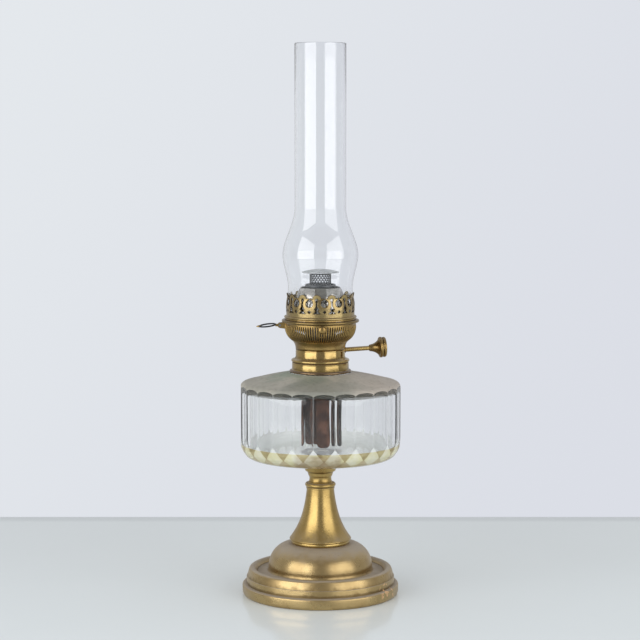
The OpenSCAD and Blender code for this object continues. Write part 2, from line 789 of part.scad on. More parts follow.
module wick() {
    across = 20;
    slack_top = tube_bottom_z - wick_rise - 2;
    gap_z = bridge_z + bridge_h + wick_drop + 1.5;
    levels = concat(
        [for (i = [0:13]) wick_bottom_z + (slack_top - wick_bottom_z) * i / 14],
        [slack_top, gap_z, gap_z + 1.5, gap_z + 4, wick_top_z]
    );
    up = len(levels) - 1;
    points = [for (z = levels, i = [0:across], side = [-1, 1]) wick_point(2 * i / across - 1, z, side)];
    function at(v, i, side) = (v * (across + 1) + i) * 2 + side;
    walls = [for (v = [0:up - 1], i = [0:across - 1]) each [
        [at(v, i, 1), at(v + 1, i, 1), at(v + 1, i + 1, 1)],
        [at(v, i, 1), at(v + 1, i + 1, 1), at(v, i + 1, 1)],
        [at(v, i, 0), at(v + 1, i + 1, 0), at(v + 1, i, 0)],
        [at(v, i, 0), at(v, i + 1, 0), at(v + 1, i + 1, 0)]
    ]];
    edges = [for (v = [0:up - 1]) each [
        [at(v, 0, 0), at(v + 1, 0, 0), at(v + 1, 0, 1)],
        [at(v, 0, 0), at(v + 1, 0, 1), at(v, 0, 1)],
        [at(v, across, 0), at(v + 1, across, 1), at(v + 1, across, 0)],
        [at(v, across, 0), at(v, across, 1), at(v + 1, across, 1)]
    ]];
    ends = [for (i = [0:across - 1]) each [
        [at(up, i, 0), at(up, i + 1, 0), at(up, i + 1, 1)],
        [at(up, i, 0), at(up, i + 1, 1), at(up, i, 1)],
        [at(0, i, 0), at(0, i + 1, 1), at(0, i + 1, 0)],
        [at(0, i, 0), at(0, i, 1), at(0, i + 1, 1)]
    ]];
    color("#5a3f33") polyhedron(points, concat(walls, edges, ends));
}

module wick_carrier() {
    color("#94712f") difference() {
        union() {
            ring(carrier_in_r, carrier_r, carrier_z, carrier_z + carrier_h);
            rotate([0, 0, winder_azimuth]) translate([0, rack_root, arm_z])
                cube([rack_near, rack_back - rack_root, carrier_h - 3]);
        }
        ring(0, carrier_in_r, carrier_z - 1, carrier_z + carrier_h + 1);
        rotate([0, 0, winder_azimuth + 180]) translate([0, -bridge_w / 2 - 0.7, carrier_z - 1])
            cube([carrier_r + 1, bridge_w + 1.4, carrier_h + 2]);
    }
}

module wick_rack() {
    half_tip = 0.37 * gear_module;
    half_root = 1 * gear_module;
    tip = pitch_r - addendum;
    below = ceil((mesh_z - rack_z) / tooth_pitch);
    above = ceil((rack_top_z - mesh_z) / tooth_pitch);
    low_z = mesh_z - below * tooth_pitch;
    high_z = mesh_z + above * tooth_pitch;
    teeth = [for (k = [-below:above - 1]) let (z = mesh_z + (k + 0.5) * tooth_pitch) each [
        [rack_root, z - half_root], [tip, z - half_tip], [tip, z + half_tip], [rack_root, z + half_root]
    ]];
    color("#94712f") rotate([0, 0, winder_azimuth]) translate([rack_near, 0, 0]) rotate([90, 0, 90])
        linear_extrude(rack_w) polygon(concat(
            [[rack_back, low_z], [rack_root, low_z]], teeth, [[rack_root, high_z], [rack_back, high_z]]
        ));
}

// Gallery

module gallery_plate() {
    tab_z = stud_z - stud_shank_r - tab_reach;
    slot_z = tab_z + 1;
    slot_top_z = stud_z + stud_shank_r + lift_gap;
    color("#8a6a38") {
        ring(plate_in_r, plate_r, plate_z, crown_z);
        at_lever() intersection() {
            ring(lift_tab_r - lift_tab_t, lift_tab_r, lift_tab_z, plate_z);
            translate([0, -lift_tab_w / 2, lift_tab_z]) cube([basket_r, lift_tab_w, plate_z - lift_tab_z]);
        }
        for (k = [0:stud_count - 1]) rotate([0, 0, stud_azimuth + 360 * k / stud_count]) difference() {
            intersection() {
                ring(tab_r - tab_t, tab_r, tab_z, plate_z);
                translate([0, -tab_w / 2, tab_z]) cube([basket_r, tab_w, plate_z - tab_z]);
            }
            translate([0, -stud_shank_r - lift_gap, slot_z])
                cube([basket_r, 2 * (stud_shank_r + lift_gap), slot_top_z - slot_z]);
        }
    }
}

module gallery_crown() {
    bead = 0.9;
    window_z = crown_z + 13.7;
    arch_r = crown_top_z - window_z - 3;
    arch_z = crown_top_z - arch_r;
    half = 180 / prong_count;
    half_x = crown_r * sin(half);
    window_r = window_d / 2;
    waist_z = crown_z + 16.9;
    bar = 1.35;
    first = -90 + 6.8;
    outside = concat(
        [[crown_r + 0.4, crown_z]],
        arc([crown_r + bead, crown_z + bead], bead, bead, -80, 80, 8),
        [[crown_r, crown_z + 2 * bead + 0.3]],
        curve([crown_r + 0.1, crown_z + 6], [crown_r + 0.6, crown_z + 12], [crown_waist_r, waist_z], 5),
        [[crown_waist_r + 0.6, crown_top_z]]
    );
    wall_in = concat(
        [[crown_waist_r + 0.6 - crown_t, crown_top_z], [crown_waist_r - crown_t, waist_z]],
        [[crown_r + 0.2 - crown_t, crown_z + 9], [crown_r - crown_t, crown_z]]
    );
    near = crown_waist_r - 2;
    far = crown_r + 4;
    color("#86672f") difference() {
        lathe(concat(outside, wall_in));
        for (k = [0:prong_count - 1]) {
            radial_cut(first + 2 * half * k, near, far) {
                translate([0, window_z]) circle(window_r);
                translate([0, crown_z + 6.8]) rotate(45) square(1.9, center = true);
                polygon([[-0.3, window_z + window_r - 0.4], [0.3, window_z + window_r - 0.4],
                         [0.6, window_z + window_r + 2], [-0.6, window_z + window_r + 2]]);
                difference() {
                    translate([-half_x + 0.2, window_z]) square([2 * half_x - 0.4, arch_r + 8]);
                    translate([0, window_z]) circle(window_r + bar);
                    for (side = [-1, 1]) translate([side * half_x, arch_z]) circle(arch_r);
                }
            }
            radial_cut(first + 2 * half * (k + 0.5), near, far) {
                translate([0, arch_z - 0.3]) circle(1.25);
                translate([-0.6, crown_z + 10.4]) square([1.2, arch_z - crown_z - 10.7]);
                polygon([[-2.1, crown_z + 8.6], [2.1, crown_z + 8.6],
                         [0.6, crown_z + 11.4], [-0.6, crown_z + 11.4]]);
                polygon([[-3, crown_z + 5.4], [3, crown_z + 5.4], [1.1, crown_z + 7.2], [1.1, crown_z + 9],
                         [-1.1, crown_z + 9], [-1.1, crown_z + 7.2]]);
            }
        }
    }
}

module deflector_cone() {
    belly = [cone_r - 1.7, crown_z + 0.57 * cone_h];
    wall = curve([cone_r, crown_z], belly, [cone_top_d / 2, crown_z + cone_h], 10);
    color("#8c8f92") lathe(concat(wall, back(inset(wall, cone_t))));
}

// Flame spreader

module spreader_thimble() {
    r = air_r + 0.15;
    neck_r0 = air_in_r - lift_gap;
    sheet = 0.5;
    neck_depth = 10;
    rows = 5;
    row_step = (thimble_h - 1.6) / rows;
    top = air_top_z + thimble_h;
    hole_r = min(0.7, 0.34 * PI * 2 * r / thimble_holes);
    color("#77797b") difference() {
        lathe([
            [neck_r0 - sheet, air_top_z - neck_depth], [neck_r0, air_top_z - neck_depth],
            [neck_r0, air_top_z], [r, air_top_z], [r, top], [r - sheet, top], [r - sheet, air_top_z + sheet],
            [neck_r0 - sheet, air_top_z + sheet]
        ]);
        for (j = [0:rows - 1], k = [0:thimble_holes - 1])
            rotate([0, 0, 360 * (k + 0.5 * (j % 2)) / thimble_holes])
                translate([r - 1.5, 0, air_top_z + 1.2 + row_step * (j + 0.5)]) rotate([0, 90, 0])
                    cylinder(r = hole_r, h = 3);
    }
}

module spreader_disc() {
    r = disc_d / 2;
    z = air_top_z + thimble_h;
    edge = 0.5;
    color("#6f7274") lathe(concat(
        [[0, z], [air_r + 0.15, z], [r - edge, z + 0.5]],
        arc([r - edge, z + 1], edge, edge, -90, 60, 5),
        curve([r - 2, z + 1.7], [r - 7, z + 2.9], [0, z + 3.1], 6)
    ));
}

// Lift lever

module lever_bracket() {
    back_z = rim_z - cheek_drop;
    top_z0 = rim_z - 0.4;
    reach = pivot_x + hub_r - 0.4;
    color("#9c7a3c") difference() {
        at_lever() for (side = [-1, 1]) translate([0, side * (lever_t / 2 + cheek_gap + cheek_t / 2), 0])
            rotate([90, 0, 0]) linear_extrude(cheek_t, center = true) polygon(concat(
                [[basket_r - 1.5, back_z], [pivot_x, pivot_z - hub_r]],
                arc([pivot_x, pivot_z], hub_r - 0.4, hub_r - 0.2, -70, 70, 8),
                [[rim_r - 0.4, top_z0], [basket_r - 1.5, top_z0]]
            ));
        lathe(concat([[0, drum_z]], bowl_outside(), [[basket_r, rim_top_z], [0, rim_top_z]]));
        at_lever() lever_axle(lever_pin_d / 2 + fit);
        at_lever() translate([reach, -big / 2, pivot_z - big / 2]) cube(big);
    }
}

// Cylinder along the lever's pivot
module lever_axle(r) {
    span = lever_t + 2 * (cheek_gap + cheek_t) + 0.8;
    translate([pivot_x, span / 2, pivot_z]) rotate([90, 0, 0]) cylinder(r = r, h = span);
}

module lever_pin() {
    color("#7d7a70") at_lever() lever_axle(lever_pin_d / 2);
}

// Side view of the lever: bar, hub and the tongue that holds the ring
module lever_side() {
    translate([pivot_x, pivot_z]) circle(hub_r - 0.4);
    translate([nose_x, pivot_z - lever_h / 2]) square([pivot_x - nose_x, lever_h]);
    translate([pivot_x, pivot_z - 1]) square([hub_r + tongue, 2]);
}

module lift_lever() {
    color("#8a6a38") at_lever() difference() {
        translate([0, lever_t / 2, 0]) rotate([90, 0, 0]) linear_extrude(lever_t) lever_side();
        lever_axle(lever_pin_d / 2 + run_clear);
    }
}

module lever_loop() {
    color("#4a443c") difference() {
        at_lever() translate([ring_x, 0, pivot_z]) rotate([0, ring_droop, 0]) rotate_extrude()
            translate([(ring_d - ring_wire) / 2, 0]) circle(d = ring_wire);
        at_lever() translate([0, lever_t / 2, 0]) rotate([90, 0, 0]) linear_extrude(lever_t) lever_side();
    }
}

// Chimney

module chimney() {
    lip = chimney_t / 2;
    outside = concat(
        [[seat_r, crown_z]],
        ease(seat_r, belly_z, bulge_d / 2, bulge_z, 10),
        ease(bulge_d / 2, bulge_z, flue_d / 2, flue_z, 14),
        [[flue_d / 2, chimney_z - lip]]
    );
    color([0.92, 0.95, 0.96, 0.3]) lathe(concat(
        outside,
        arc([flue_d / 2 - lip, chimney_z - lip], lip, lip, 15, 165, 6),
        back(inset(outside, chimney_t))
    ));
}

base_foot();
base_weight();
tie_rod();
tie_washer();
tie_nut();
stem_column();
stem_bead();
font_cup();
cup_cement();
font_glass();
collar_cement();
font_collar();
burner_gasket();
burner_drum();
burner_basket();
guide_studs();
wick_tube();
air_tube();
air_bridge();
shaft_bush();
lever_bracket();
lever_pin();
winder_shaft();
winder_pinion();
winder_knob();
wick();
wick_carrier();
wick_rack();
gallery_plate();
gallery_crown();
deflector_cone();
spreader_thimble();
spreader_disc();
lift_lever();
lever_loop();
chimney();
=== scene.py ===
"""Looks of a kerosene table lamp: turned brass foot and stem, panelled glass font,
round-wick burner with a pronged gallery, and a tall blown-glass chimney.

Shapes are grids of points worked out in millimetres, in the frame of the CAD part, and
written to meshes in metres. The front of the lamp is towards -Y.
"""
import json
import math

import bmesh
import bpy
import numpy as np
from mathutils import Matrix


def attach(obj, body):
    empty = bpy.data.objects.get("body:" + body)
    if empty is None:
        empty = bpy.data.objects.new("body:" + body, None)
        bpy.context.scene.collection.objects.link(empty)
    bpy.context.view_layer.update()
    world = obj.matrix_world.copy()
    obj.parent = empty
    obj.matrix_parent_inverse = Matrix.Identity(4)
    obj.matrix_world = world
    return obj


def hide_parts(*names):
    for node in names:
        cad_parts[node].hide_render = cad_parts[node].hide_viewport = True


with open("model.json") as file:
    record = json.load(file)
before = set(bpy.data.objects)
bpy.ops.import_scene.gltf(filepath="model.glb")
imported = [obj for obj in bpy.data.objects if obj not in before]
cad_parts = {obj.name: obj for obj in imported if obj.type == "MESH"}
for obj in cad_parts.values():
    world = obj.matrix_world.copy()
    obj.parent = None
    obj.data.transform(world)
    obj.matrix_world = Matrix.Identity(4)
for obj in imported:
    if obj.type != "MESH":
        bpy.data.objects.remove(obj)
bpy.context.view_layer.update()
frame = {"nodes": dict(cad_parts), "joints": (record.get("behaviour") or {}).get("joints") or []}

MM = 0.001
TURN = 2 * math.pi
WELD = 2e-4


# Measures taken from the frame, in millimetres

def points_of(node):
    """Corner points of a CAD node at rest."""
    mesh = frame["nodes"][node].data
    flat = np.empty(len(mesh.vertices) * 3)
    mesh.vertices.foreach_get("co", flat)
    return flat.reshape(-1, 3) / MM


def low_z(node):
    """Height of the lowest point of a node."""
    return points_of(node)[:, 2].min()


def high_z(node):
    """Height of the highest point of a node."""
    return points_of(node)[:, 2].max()


def reach(node):
    """Largest distance of a node from the lamp's axis."""
    return np.hypot(*points_of(node)[:, :2].T).max()


def joint(name):
    """The frame's entry for a joint."""
    return next(j for j in frame["joints"] if j["name"] == name)


dome_z = low_z("stem_column")
stem_z = low_z("stem_bead")
cup_z = low_z("font_cup")
font_z = high_z("font_cup")
land_z = low_z("collar_cement")
neck_z = high_z("font_glass")
collar_z = low_z("burner_gasket")
burner_z = high_z("burner_gasket")
drum_z = low_z("burner_basket")
bowl_z = high_z("burner_drum")
rim_top_z = high_z("burner_basket")
crown_z = low_z("gallery_crown")
crown_top_z = high_z("gallery_crown")
cone_top_z = high_z("deflector_cone")
tube_bottom_z = low_z("wick_tube")
tube_top_z = high_z("wick_tube")
air_top_z = high_z("air_tube")
disc_z = low_z("spreader_disc")
chimney_z = high_z("chimney")
base_r = reach("base_foot")
stem_foot_r = reach("stem_column")
bead_r = reach("stem_bead")
cup_r = reach("font_cup")
ridge_r = reach("font_glass")
collar_flange_r = reach("font_collar")
drum_bead_r = reach("burner_drum")
rim_r = reach("burner_basket")
tube_lip_r = reach("wick_tube")
disc_r = reach("spreader_disc")
cone_r = reach("deflector_cone")
bulge_r = reach("chimney")


# Outlines, as arrays of (radius, height)

def arc(centre, rx, rz, start, end, n=16):
    """Points on an ellipse about centre, between two angles in degrees."""
    a = np.radians(np.linspace(start, end, n + 1))
    return np.stack([centre[0] + rx * np.cos(a), centre[1] + rz * np.sin(a)], -1)


def curve(p, m, q, n=16):
    """Quadratic curve from p to q, drawn towards m."""
    t = np.linspace(0, 1, n + 1)[:, None]
    return (1 - t) ** 2 * np.array(p) + 2 * t * (1 - t) * np.array(m) + t ** 2 * np.array(q)


def ease(r0, z0, r1, z1, n=40, lead=1.0):
    """Half-cosine step from one radius to another; with lead below 1 it starts sooner."""
    t = np.linspace(0, 1, n + 1)
    return np.stack([r0 + (r1 - r0) * (1 - np.cos(math.pi * t ** lead)) / 2, z0 + (z1 - z0) * t], -1)


def outline(*runs):
    """Runs of points joined in one array, without repeated points."""
    p = np.concatenate([np.atleast_2d(np.asarray(run, float)) for run in runs])
    apart = np.linalg.norm(np.diff(p, axis=0), axis=1) > 1e-6
    return p[np.r_[True, apart]]


def rounded(points, size, n=5, least_turn=18):
    """Outline whose corners sharper than least_turn become quadratic curves that
    start and end at most size away from the corner."""
    p = np.asarray(points, float)
    behind, ahead = p[:-2] - p[1:-1], p[2:] - p[1:-1]
    long_b, long_a = np.linalg.norm(behind, axis=1), np.linalg.norm(ahead, axis=1)
    cosine = -(behind * ahead).sum(1) / (long_b * long_a)
    turn = np.degrees(np.arccos(np.clip(cosine, -1, 1)))
    cut = np.where(turn > least_turn, np.minimum(size, 0.45 * np.minimum(long_a, long_b)), 0)
    start = p[1:-1] + behind * (cut / long_b)[:, None]
    end = p[1:-1] + ahead * (cut / long_a)[:, None]
    t = np.linspace(0, 1, n)[None, :, None]
    bent = (1 - t) ** 2 * start[:, None] + 2 * t * (1 - t) * p[1:-1, None] + t ** 2 * end[:, None]
    return outline(p[:1], bent.reshape(-1, 2), p[-1:])


def closed(points):
    """Outline whose last point is its first again."""
    return np.concatenate([points, points[:1]])


def section(size, *runs, least_turn=18):
    """Runs of points joined to a closed outline, its corners rounded by size."""
    return rounded(closed(outline(*runs)), size, least_turn=least_turn)


def way_along(points):
    """Length of the outline up to each of its points."""
    return np.r_[0, np.cumsum(np.linalg.norm(np.diff(points, axis=0), axis=1))]


def relief_of(profile, width=0.9):
    """How far each point stands out (above 0) or lies in a groove (below 0): its height
    over the chord between the points width before and after it, as a share of width."""
    along = way_along(profile)

    def moved(by):
        """The profile's points, each moved by a length along it."""
        s = np.clip(along + by, 0, along[-1])
        return np.stack([np.interp(s, along, profile[:, k]) for k in (0, 1)], -1)

    before = moved(-width)
    chord = moved(width) - before
    chord = chord / np.maximum(np.linalg.norm(chord, axis=1), 1e-6)[:, None]
    off = profile - before
    return (off[:, 0] * chord[:, 1] - off[:, 1] * chord[:, 0]) / width


# Grids and meshes

def turned(profile, n=144):
    """Surface of revolution: the profile carried round the lamp's axis, one row a point."""
    a = np.linspace(0, TURN, n + 1)
    r, z = profile.T
    return np.stack([np.outer(r, np.cos(a)), np.outer(r, np.sin(a)), np.outer(z, np.ones(n + 1))], -1)


def lathe(profile, finish=0, n=144, width=0.9):
    """Patch of a turned piece, with the relief of its profile."""
    return turned(profile, n), finish, relief_of(profile, width)[:, None]


def placed(patch, origin, axis):
    """A patch made about +Z, moved so that +Z runs along axis from origin."""
    grid, finish, relief = patch
    along = np.array(axis) / np.linalg.norm(axis)
    side = np.cross(along, [0, 0, 1])
    side = side / np.linalg.norm(side)
    basis = np.stack([side, np.cross(along, side), along])
    return np.array(origin) + grid @ basis, finish, relief


def grid_quads(rows, columns):
    """Corner numbers of the cells of a grid whose points are numbered row by row."""
    k = np.arange(rows * columns).reshape(rows, columns)
    return np.stack([k[:-1, :-1], k[:-1, 1:], k[1:, 1:], k[1:, :-1]], -1).reshape(-1, 4)


def new_object(name, data):
    """An object at the origin, in the scene."""
    made = bpy.data.objects.new(name, data)
    bpy.context.scene.collection.objects.link(made)
    return made


def object_of(name, points, quads, finish_of, relief, finishes, crease):
    """Mesh object in metres: points that coincide are joined, quads that close up
    become triangles, and edges sharper than crease degrees stay sharp."""
    cells = np.round(points / WELD).astype(np.int64)
    _, first, same = np.unique(cells, axis=0, return_index=True, return_inverse=True)
    quads = same.reshape(-1)[quads]
    a, b, c, d = quads.T
    twins = np.stack([a == b, b == c, c == d, d == a])
    whole = ~twins.any(0)
    bent = twins.sum(0) == 1
    three = np.where((a == b)[:, None], np.stack([b, c, d], -1), np.stack([a, b, c], -1))
    three = np.where((b == c)[:, None], np.stack([a, c, d], -1), three)
    mesh = bpy.data.meshes.new(name)
    faces = quads[whole].tolist() + three[bent].tolist()
    mesh.from_pydata((points[first] * MM).tolist(), [], faces)
    mesh.polygons.foreach_set("material_index", np.r_[finish_of[whole], finish_of[bent]].astype(np.int32))
    mesh.attributes.new("relief", "FLOAT", "POINT")
    mesh.attributes["relief"].data.foreach_set("value", relief[first].astype(np.float32))
    for finish in finishes:
        mesh.materials.append(finish)
    mesh.shade_smooth()
    mesh.set_sharp_from_angle(angle=math.radians(crease))
    return new_object(name, mesh)


def piece(name, patches, finishes, body, replaced, crease=26):
    """One piece of the lamp from patches of (grid, finish number, relief)."""
    sizes = [grid.shape[:2] for grid, _, _ in patches]
    starts = np.cumsum([0] + [rows * columns for rows, columns in sizes])
    points = np.concatenate([grid.reshape(-1, 3) for grid, _, _ in patches])
    relief = np.concatenate([np.broadcast_to(r, s).ravel() for (_, _, r), s in zip(patches, sizes)])
    quads = [grid_quads(*size) + start for size, start in zip(sizes, starts)]
    finish_of = np.concatenate([np.full(len(q), f) for q, (_, f, _) in zip(quads, patches)])
    made = object_of(name, points, np.concatenate(quads), finish_of, relief, finishes, crease)
    return dressed(made, body, replaced)


def dressed(made, body, replaced):
    """A piece rides on its body and stands for its CAD node, which is hidden."""
    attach(made, body)
    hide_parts(replaced)
    return made


def pierced(name, u, v, solid, place, finish, wear=0.35, crease=40):
    """Sheet with holes: a grid of (u, v) in millimetres, wrapped round in u. solid(u, v) is
    the distance to the nearest cut edge, above 0 in the metal. Grid points near an edge
    slide on to it, and cells whose middle is in a hole are left out. place(u, v) gives x, y, z,
    and wear the relief at a cut edge, below 0 where the colour goes darker."""
    uu, vv = np.meshgrid(u, v)
    cell = min(np.diff(u).min(), np.diff(v).min())
    close, worn, tiny = 0.7 * cell, 0.35, 1e-3
    for _ in range(4):
        d = solid(uu, vv)
        du = (solid(uu + tiny, vv) - solid(uu - tiny, vv)) / (2 * tiny)
        dv = (solid(uu, vv + tiny) - solid(uu, vv - tiny)) / (2 * tiny)
        near = np.abs(d) < close
        uu = np.where(near, uu - d * du, uu)
        vv = np.where(near, vv - d * dv, vv)
    uu[:, -1], vv[:, -1] = uu[:, 0] + (u[-1] - u[0]), vv[:, 0]
    quads = grid_quads(*uu.shape)
    middle_u, middle_v = uu.ravel()[quads].mean(1), vv.ravel()[quads].mean(1)
    quads = quads[solid(middle_u, middle_v) > 0]
    points = np.stack(place(uu, vv), -1).reshape(-1, 3)
    edge = wear * np.exp(-np.maximum(solid(uu, vv), 0).ravel() / worn)
    return object_of(name, points, quads, np.zeros(len(quads), int), edge, [finish], crease)


def thicken(made, sheet):
    """Gives an open sheet its thickness, inwards, and takes loose corner points away."""
    work = bmesh.new()
    work.from_mesh(made.data)
    bmesh.ops.delete(work, geom=[p for p in work.verts if not p.link_faces], context="VERTS")
    work.to_mesh(made.data)
    work.free()
    wall = made.modifiers.new("sheet", "SOLIDIFY")
    wall.thickness = sheet * MM
    wall.offset = -1
    wall.use_even_offset = True
    return made


# Finishes

def srgb(red, green, blue):
    """A screen colour, 0 to 255 a channel, as the linear colour that a shader takes."""
    c = np.array([red, green, blue]) / 255
    linear = np.where(c <= 0.04045, c / 12.92, ((c + 0.055) / 1.055) ** 2.4)
    return (*linear.tolist(), 1.0)


class Wiring:
    """Adds nodes to one tree. A value is a number, a colour or another node's socket."""

    def __init__(self, tree):
        self.tree = tree

    def node(self, kind, **settings):
        """A new node of one kind, with its settings."""
        made = self.tree.nodes.new(kind)
        for key, value in settings.items():
            setattr(made, key, value)
        return made

    def feed(self, socket, value):
        """Links a value into a socket, or sets the socket's fixed value."""
        if isinstance(value, bpy.types.NodeSocket):
            self.tree.links.new(value, socket)
        else:
            socket.default_value = value

    def calc(self, operation, a, b=0.0, clamp=False):
        """One operation on one or two numbers."""
        made = self.node("ShaderNodeMath", operation=operation, use_clamp=clamp)
        self.feed(made.inputs[0], a)
        self.feed(made.inputs[1], b)
        return made.outputs[0]

    def times(self, a, b):
        """a times b."""
        return self.calc("MULTIPLY", a, b)

    def plus(self, a, b, clamp=False):
        """a plus b."""
        return self.calc("ADD", a, b, clamp)

    def minus(self, a, b, clamp=False):
        """a less b."""
        return self.calc("SUBTRACT", a, b, clamp)

    def blend(self, share, a, b):
        """Colour a where share is 0 and b where it is 1."""
        made = self.node("ShaderNodeMix", data_type="RGBA")
        for socket, value in ((0, share), (6, a), (7, b)):
            self.feed(made.inputs[socket], value)
        return made.outputs[2]

    def cover(self, colour, top, mask, most):
        """Colour with top laid over it, by the share most where mask is 1."""
        return self.blend(self.times(mask, most), colour, top)

    def step(self, value, low, high, to_low=0.0, to_high=1.0):
        """Smooth step of a value between two limits."""
        made = self.node("ShaderNodeMapRange", interpolation_type="SMOOTHSTEP")
        for socket, given in enumerate((value, low, high, to_low, to_high)):
            self.feed(made.inputs[socket], given)
        return made.outputs[0]

    def noise(self, place, scale, detail, rough):
        """Clouds of noise; scale is in repeats a metre."""
        made = self.node("ShaderNodeTexNoise")
        for key, value in (("Vector", place), ("Scale", scale), ("Detail", detail), ("Roughness", rough)):
            self.feed(made.inputs[key], value)
        return made.outputs[0]

    def here(self):
        """The place on the piece, in its own coordinates."""
        return self.node("ShaderNodeTexCoord").outputs["Object"]

    def parts(self, vector):
        """The three parts of a vector, by the names X, Y and Z."""
        made = self.node("ShaderNodeSeparateXYZ")
        self.feed(made.inputs[0], vector)
        return made.outputs

    def from_axis(self, place):
        """Distance from the lamp's axis."""
        squares = [self.calc("POWER", place[way], 2.0) for way in "XY"]
        return self.calc("SQRT", self.plus(*squares))

    def bump(self, height, depth, distance=0.0004):
        """Surface direction tilted as if the height were modelled, distance metres deep."""
        made = self.node("ShaderNodeBump")
        self.feed(made.inputs["Height"], height)
        made.inputs["Strength"].default_value = depth
        made.inputs["Distance"].default_value = distance
        return made.outputs[0]

    def use(self, group, **values):
        """Places a shared group, with its own values."""
        made = self.node("ShaderNodeGroup", node_tree=group)
        for key, value in values.items():
            self.feed(made.inputs[key.replace("_", " ")], value)
        return made.outputs


def group_of(name, inputs, outputs):
    """Empty shared group with named number sockets, its wiring and its two ends."""
    tree = bpy.data.node_groups.new(name, "ShaderNodeTree")
    for key, value in inputs.items():
        made = tree.interface.new_socket(key, in_out="INPUT", socket_type="NodeSocketFloat")
        made.default_value = value
    for key in outputs:
        tree.interface.new_socket(key, in_out="OUTPUT", socket_type="NodeSocketFloat")
    w = Wiring(tree)
    return w, w.node("NodeGroupInput").outputs, w.node("NodeGroupOutput").inputs


def make_tarnish():
    """Old metal: broad clouds, blotches, small dark specks, grime in grooves, bright
    worn edges and dust that settles on faces that look up."""
    masks = ["Clouds", "Blotches", "Specks", "Grime", "Wear", "Dust"]
    w, given, out = group_of("tarnish", {"Scale": 1.0}, masks)
    here = w.here()
    scale = given["Scale"]
    clouds = w.noise(here, w.times(scale, 38.0), 4.0, 0.6)
    blotches = w.noise(here, w.times(scale, 140.0), 5.0, 0.65)
    fine = w.noise(here, w.times(scale, 620.0), 2.0, 0.5)
    relief = w.node("ShaderNodeAttribute", attribute_name="relief").outputs["Fac"]
    facing = w.parts(w.node("ShaderNodeNewGeometry").outputs["Normal"])["Z"]
    rag = w.times(w.minus(blotches, 0.5), 0.5)
    w.feed(out["Clouds"], w.step(clouds, 0.36, 0.68))
    w.feed(out["Blotches"], w.step(blotches, 0.5, 0.7))
    w.feed(out["Specks"], w.step(fine, 0.69, 0.76))
    w.feed(out["Grime"], w.step(w.plus(w.times(relief, -1.0), rag), 0.04, 0.34))
    w.feed(out["Wear"], w.step(w.minus(relief, rag), 0.05, 0.3))
    w.feed(out["Dust"], w.step(w.plus(facing, rag), 0.42, 0.95))
    return w.tree


def make_lathe_marks():
    """Fine rings left by turning and rubbing: noise that depends only on the distance
    from the lamp's axis and on the height."""
    w, given, out = group_of("lathe_marks", {"Fineness": 1.0}, ["Height"])
    place = w.parts(w.here())
    around = w.from_axis(place)
    flat = w.node("ShaderNodeCombineXYZ")
    w.feed(flat.inputs[0], around)
    w.feed(flat.inputs[2], place["Z"])
    rings = w.noise(flat.outputs[0], w.times(given["Fineness"], 1500.0), 3.0, 0.6)
    pits = w.noise(w.here(), w.times(given["Fineness"], 900.0), 2.0, 0.5)
    w.feed(out["Height"], w.plus(w.times(rings, 0.7), w.times(pits, 0.3)))
    return w.tree


tarnish = make_tarnish()
lathe_marks = make_lathe_marks()


def material(name):
    """A new material: its wiring, its Principled shader and its output."""
    made = bpy.data.materials.new(name)
    made.use_nodes = True
    made.node_tree.nodes.clear()
    w = Wiring(made.node_tree)
    shader = w.node("ShaderNodeBsdfPrincipled")
    end = w.node("ShaderNodeOutputMaterial")
    w.tree.links.new(shader.outputs[0], end.inputs[0])
    return made, w, shader.inputs, end.inputs[0]


def metal(name, bright, brown, dust, shine, dusty=0.6, grime=0.7, marks=0.25, scale=1.0, chipped=None):
    """Old metal: bright where rubbed, brown in clouds and grooves, dusty on top, with a painted
    pale sheen in the dust colour where it turns away from the eye. The three colours are screen
    colours, shine is the roughness of the clean metal, and chipped a place where flakes have come off."""
    made, w, shader, _ = material(name)
    bright, brown, dust = [srgb(*colour) for colour in (bright, brown, dust)]
    old = w.use(tarnish, Scale=scale)
    deep = tuple(0.35 * c for c in brown[:3]) + (1.0,)
    colour = w.cover(bright, brown, old["Clouds"], 0.45)
    colour = w.cover(colour, brown, old["Blotches"], 0.3)
    colour = w.cover(colour, deep, old["Grime"], grime)
    colour = w.cover(colour, bright, old["Wear"], 0.5)
    # Painted sheen: the dust colour laid on where the surface turns away from the eye; on faces that look up
    # it is real dust
    away = w.step(w.node("ShaderNodeLayerWeight").outputs["Facing"], 0.45, 0.95, 0.0, 0.32)
    dust_and_grazing_sheen = w.times(w.calc("MAXIMUM", old["Dust"], away), dusty)
    colour = w.blend(dust_and_grazing_sheen, colour, dust)
    colour = w.cover(colour, deep, old["Specks"], 0.5)
    if chipped:
        gap = w.node("ShaderNodeVectorMath", operation="DISTANCE")
        w.feed(gap.inputs[0], w.here())
        gap.inputs[1].default_value = chipped
        flake = w.step(w.noise(w.here(), 250.0, 1.0, 0.4), 0.57, 0.6)
        flake = w.times(flake, w.step(gap.outputs["Value"], 0.012, 0.008))
        colour = w.blend(flake, colour, srgb(232, 190, 140))
    w.feed(shader["Base Color"], colour)
    rough = w.plus(shine, w.times(old["Clouds"], 0.08))
    rough = w.plus(rough, w.times(dust_and_grazing_sheen, 0.3))
    w.feed(shader["Roughness"], w.plus(rough, w.times(old["Grime"], 0.2), clamp=True))
    w.feed(shader["Metallic"], w.minus(1.0, w.times(dust_and_grazing_sheen, 0.8), clamp=True))
    w.feed(shader["Normal"], w.bump(w.use(lathe_marks, Fineness=scale)["Height"], marks))
    return made


def plain(name, light, dark, rough, scale=120.0, depth=0.3, metallic=0.0):
    """Rough plain stuff in two tones, such as cast iron, plaster or leather."""
    made, w, shader, _ = material(name)
    grain = w.noise(w.here(), scale, 5.0, 0.65)
    w.feed(shader["Base Color"], w.blend(w.step(grain, 0.3, 0.7), srgb(*dark), srgb(*light)))
    w.feed(shader["Roughness"], w.step(grain, 0.2, 0.8, rough, min(1.0, rough + 0.15)))
    w.feed(shader["Normal"], w.bump(grain, depth))
    shader["Metallic"].default_value = metallic
    return made


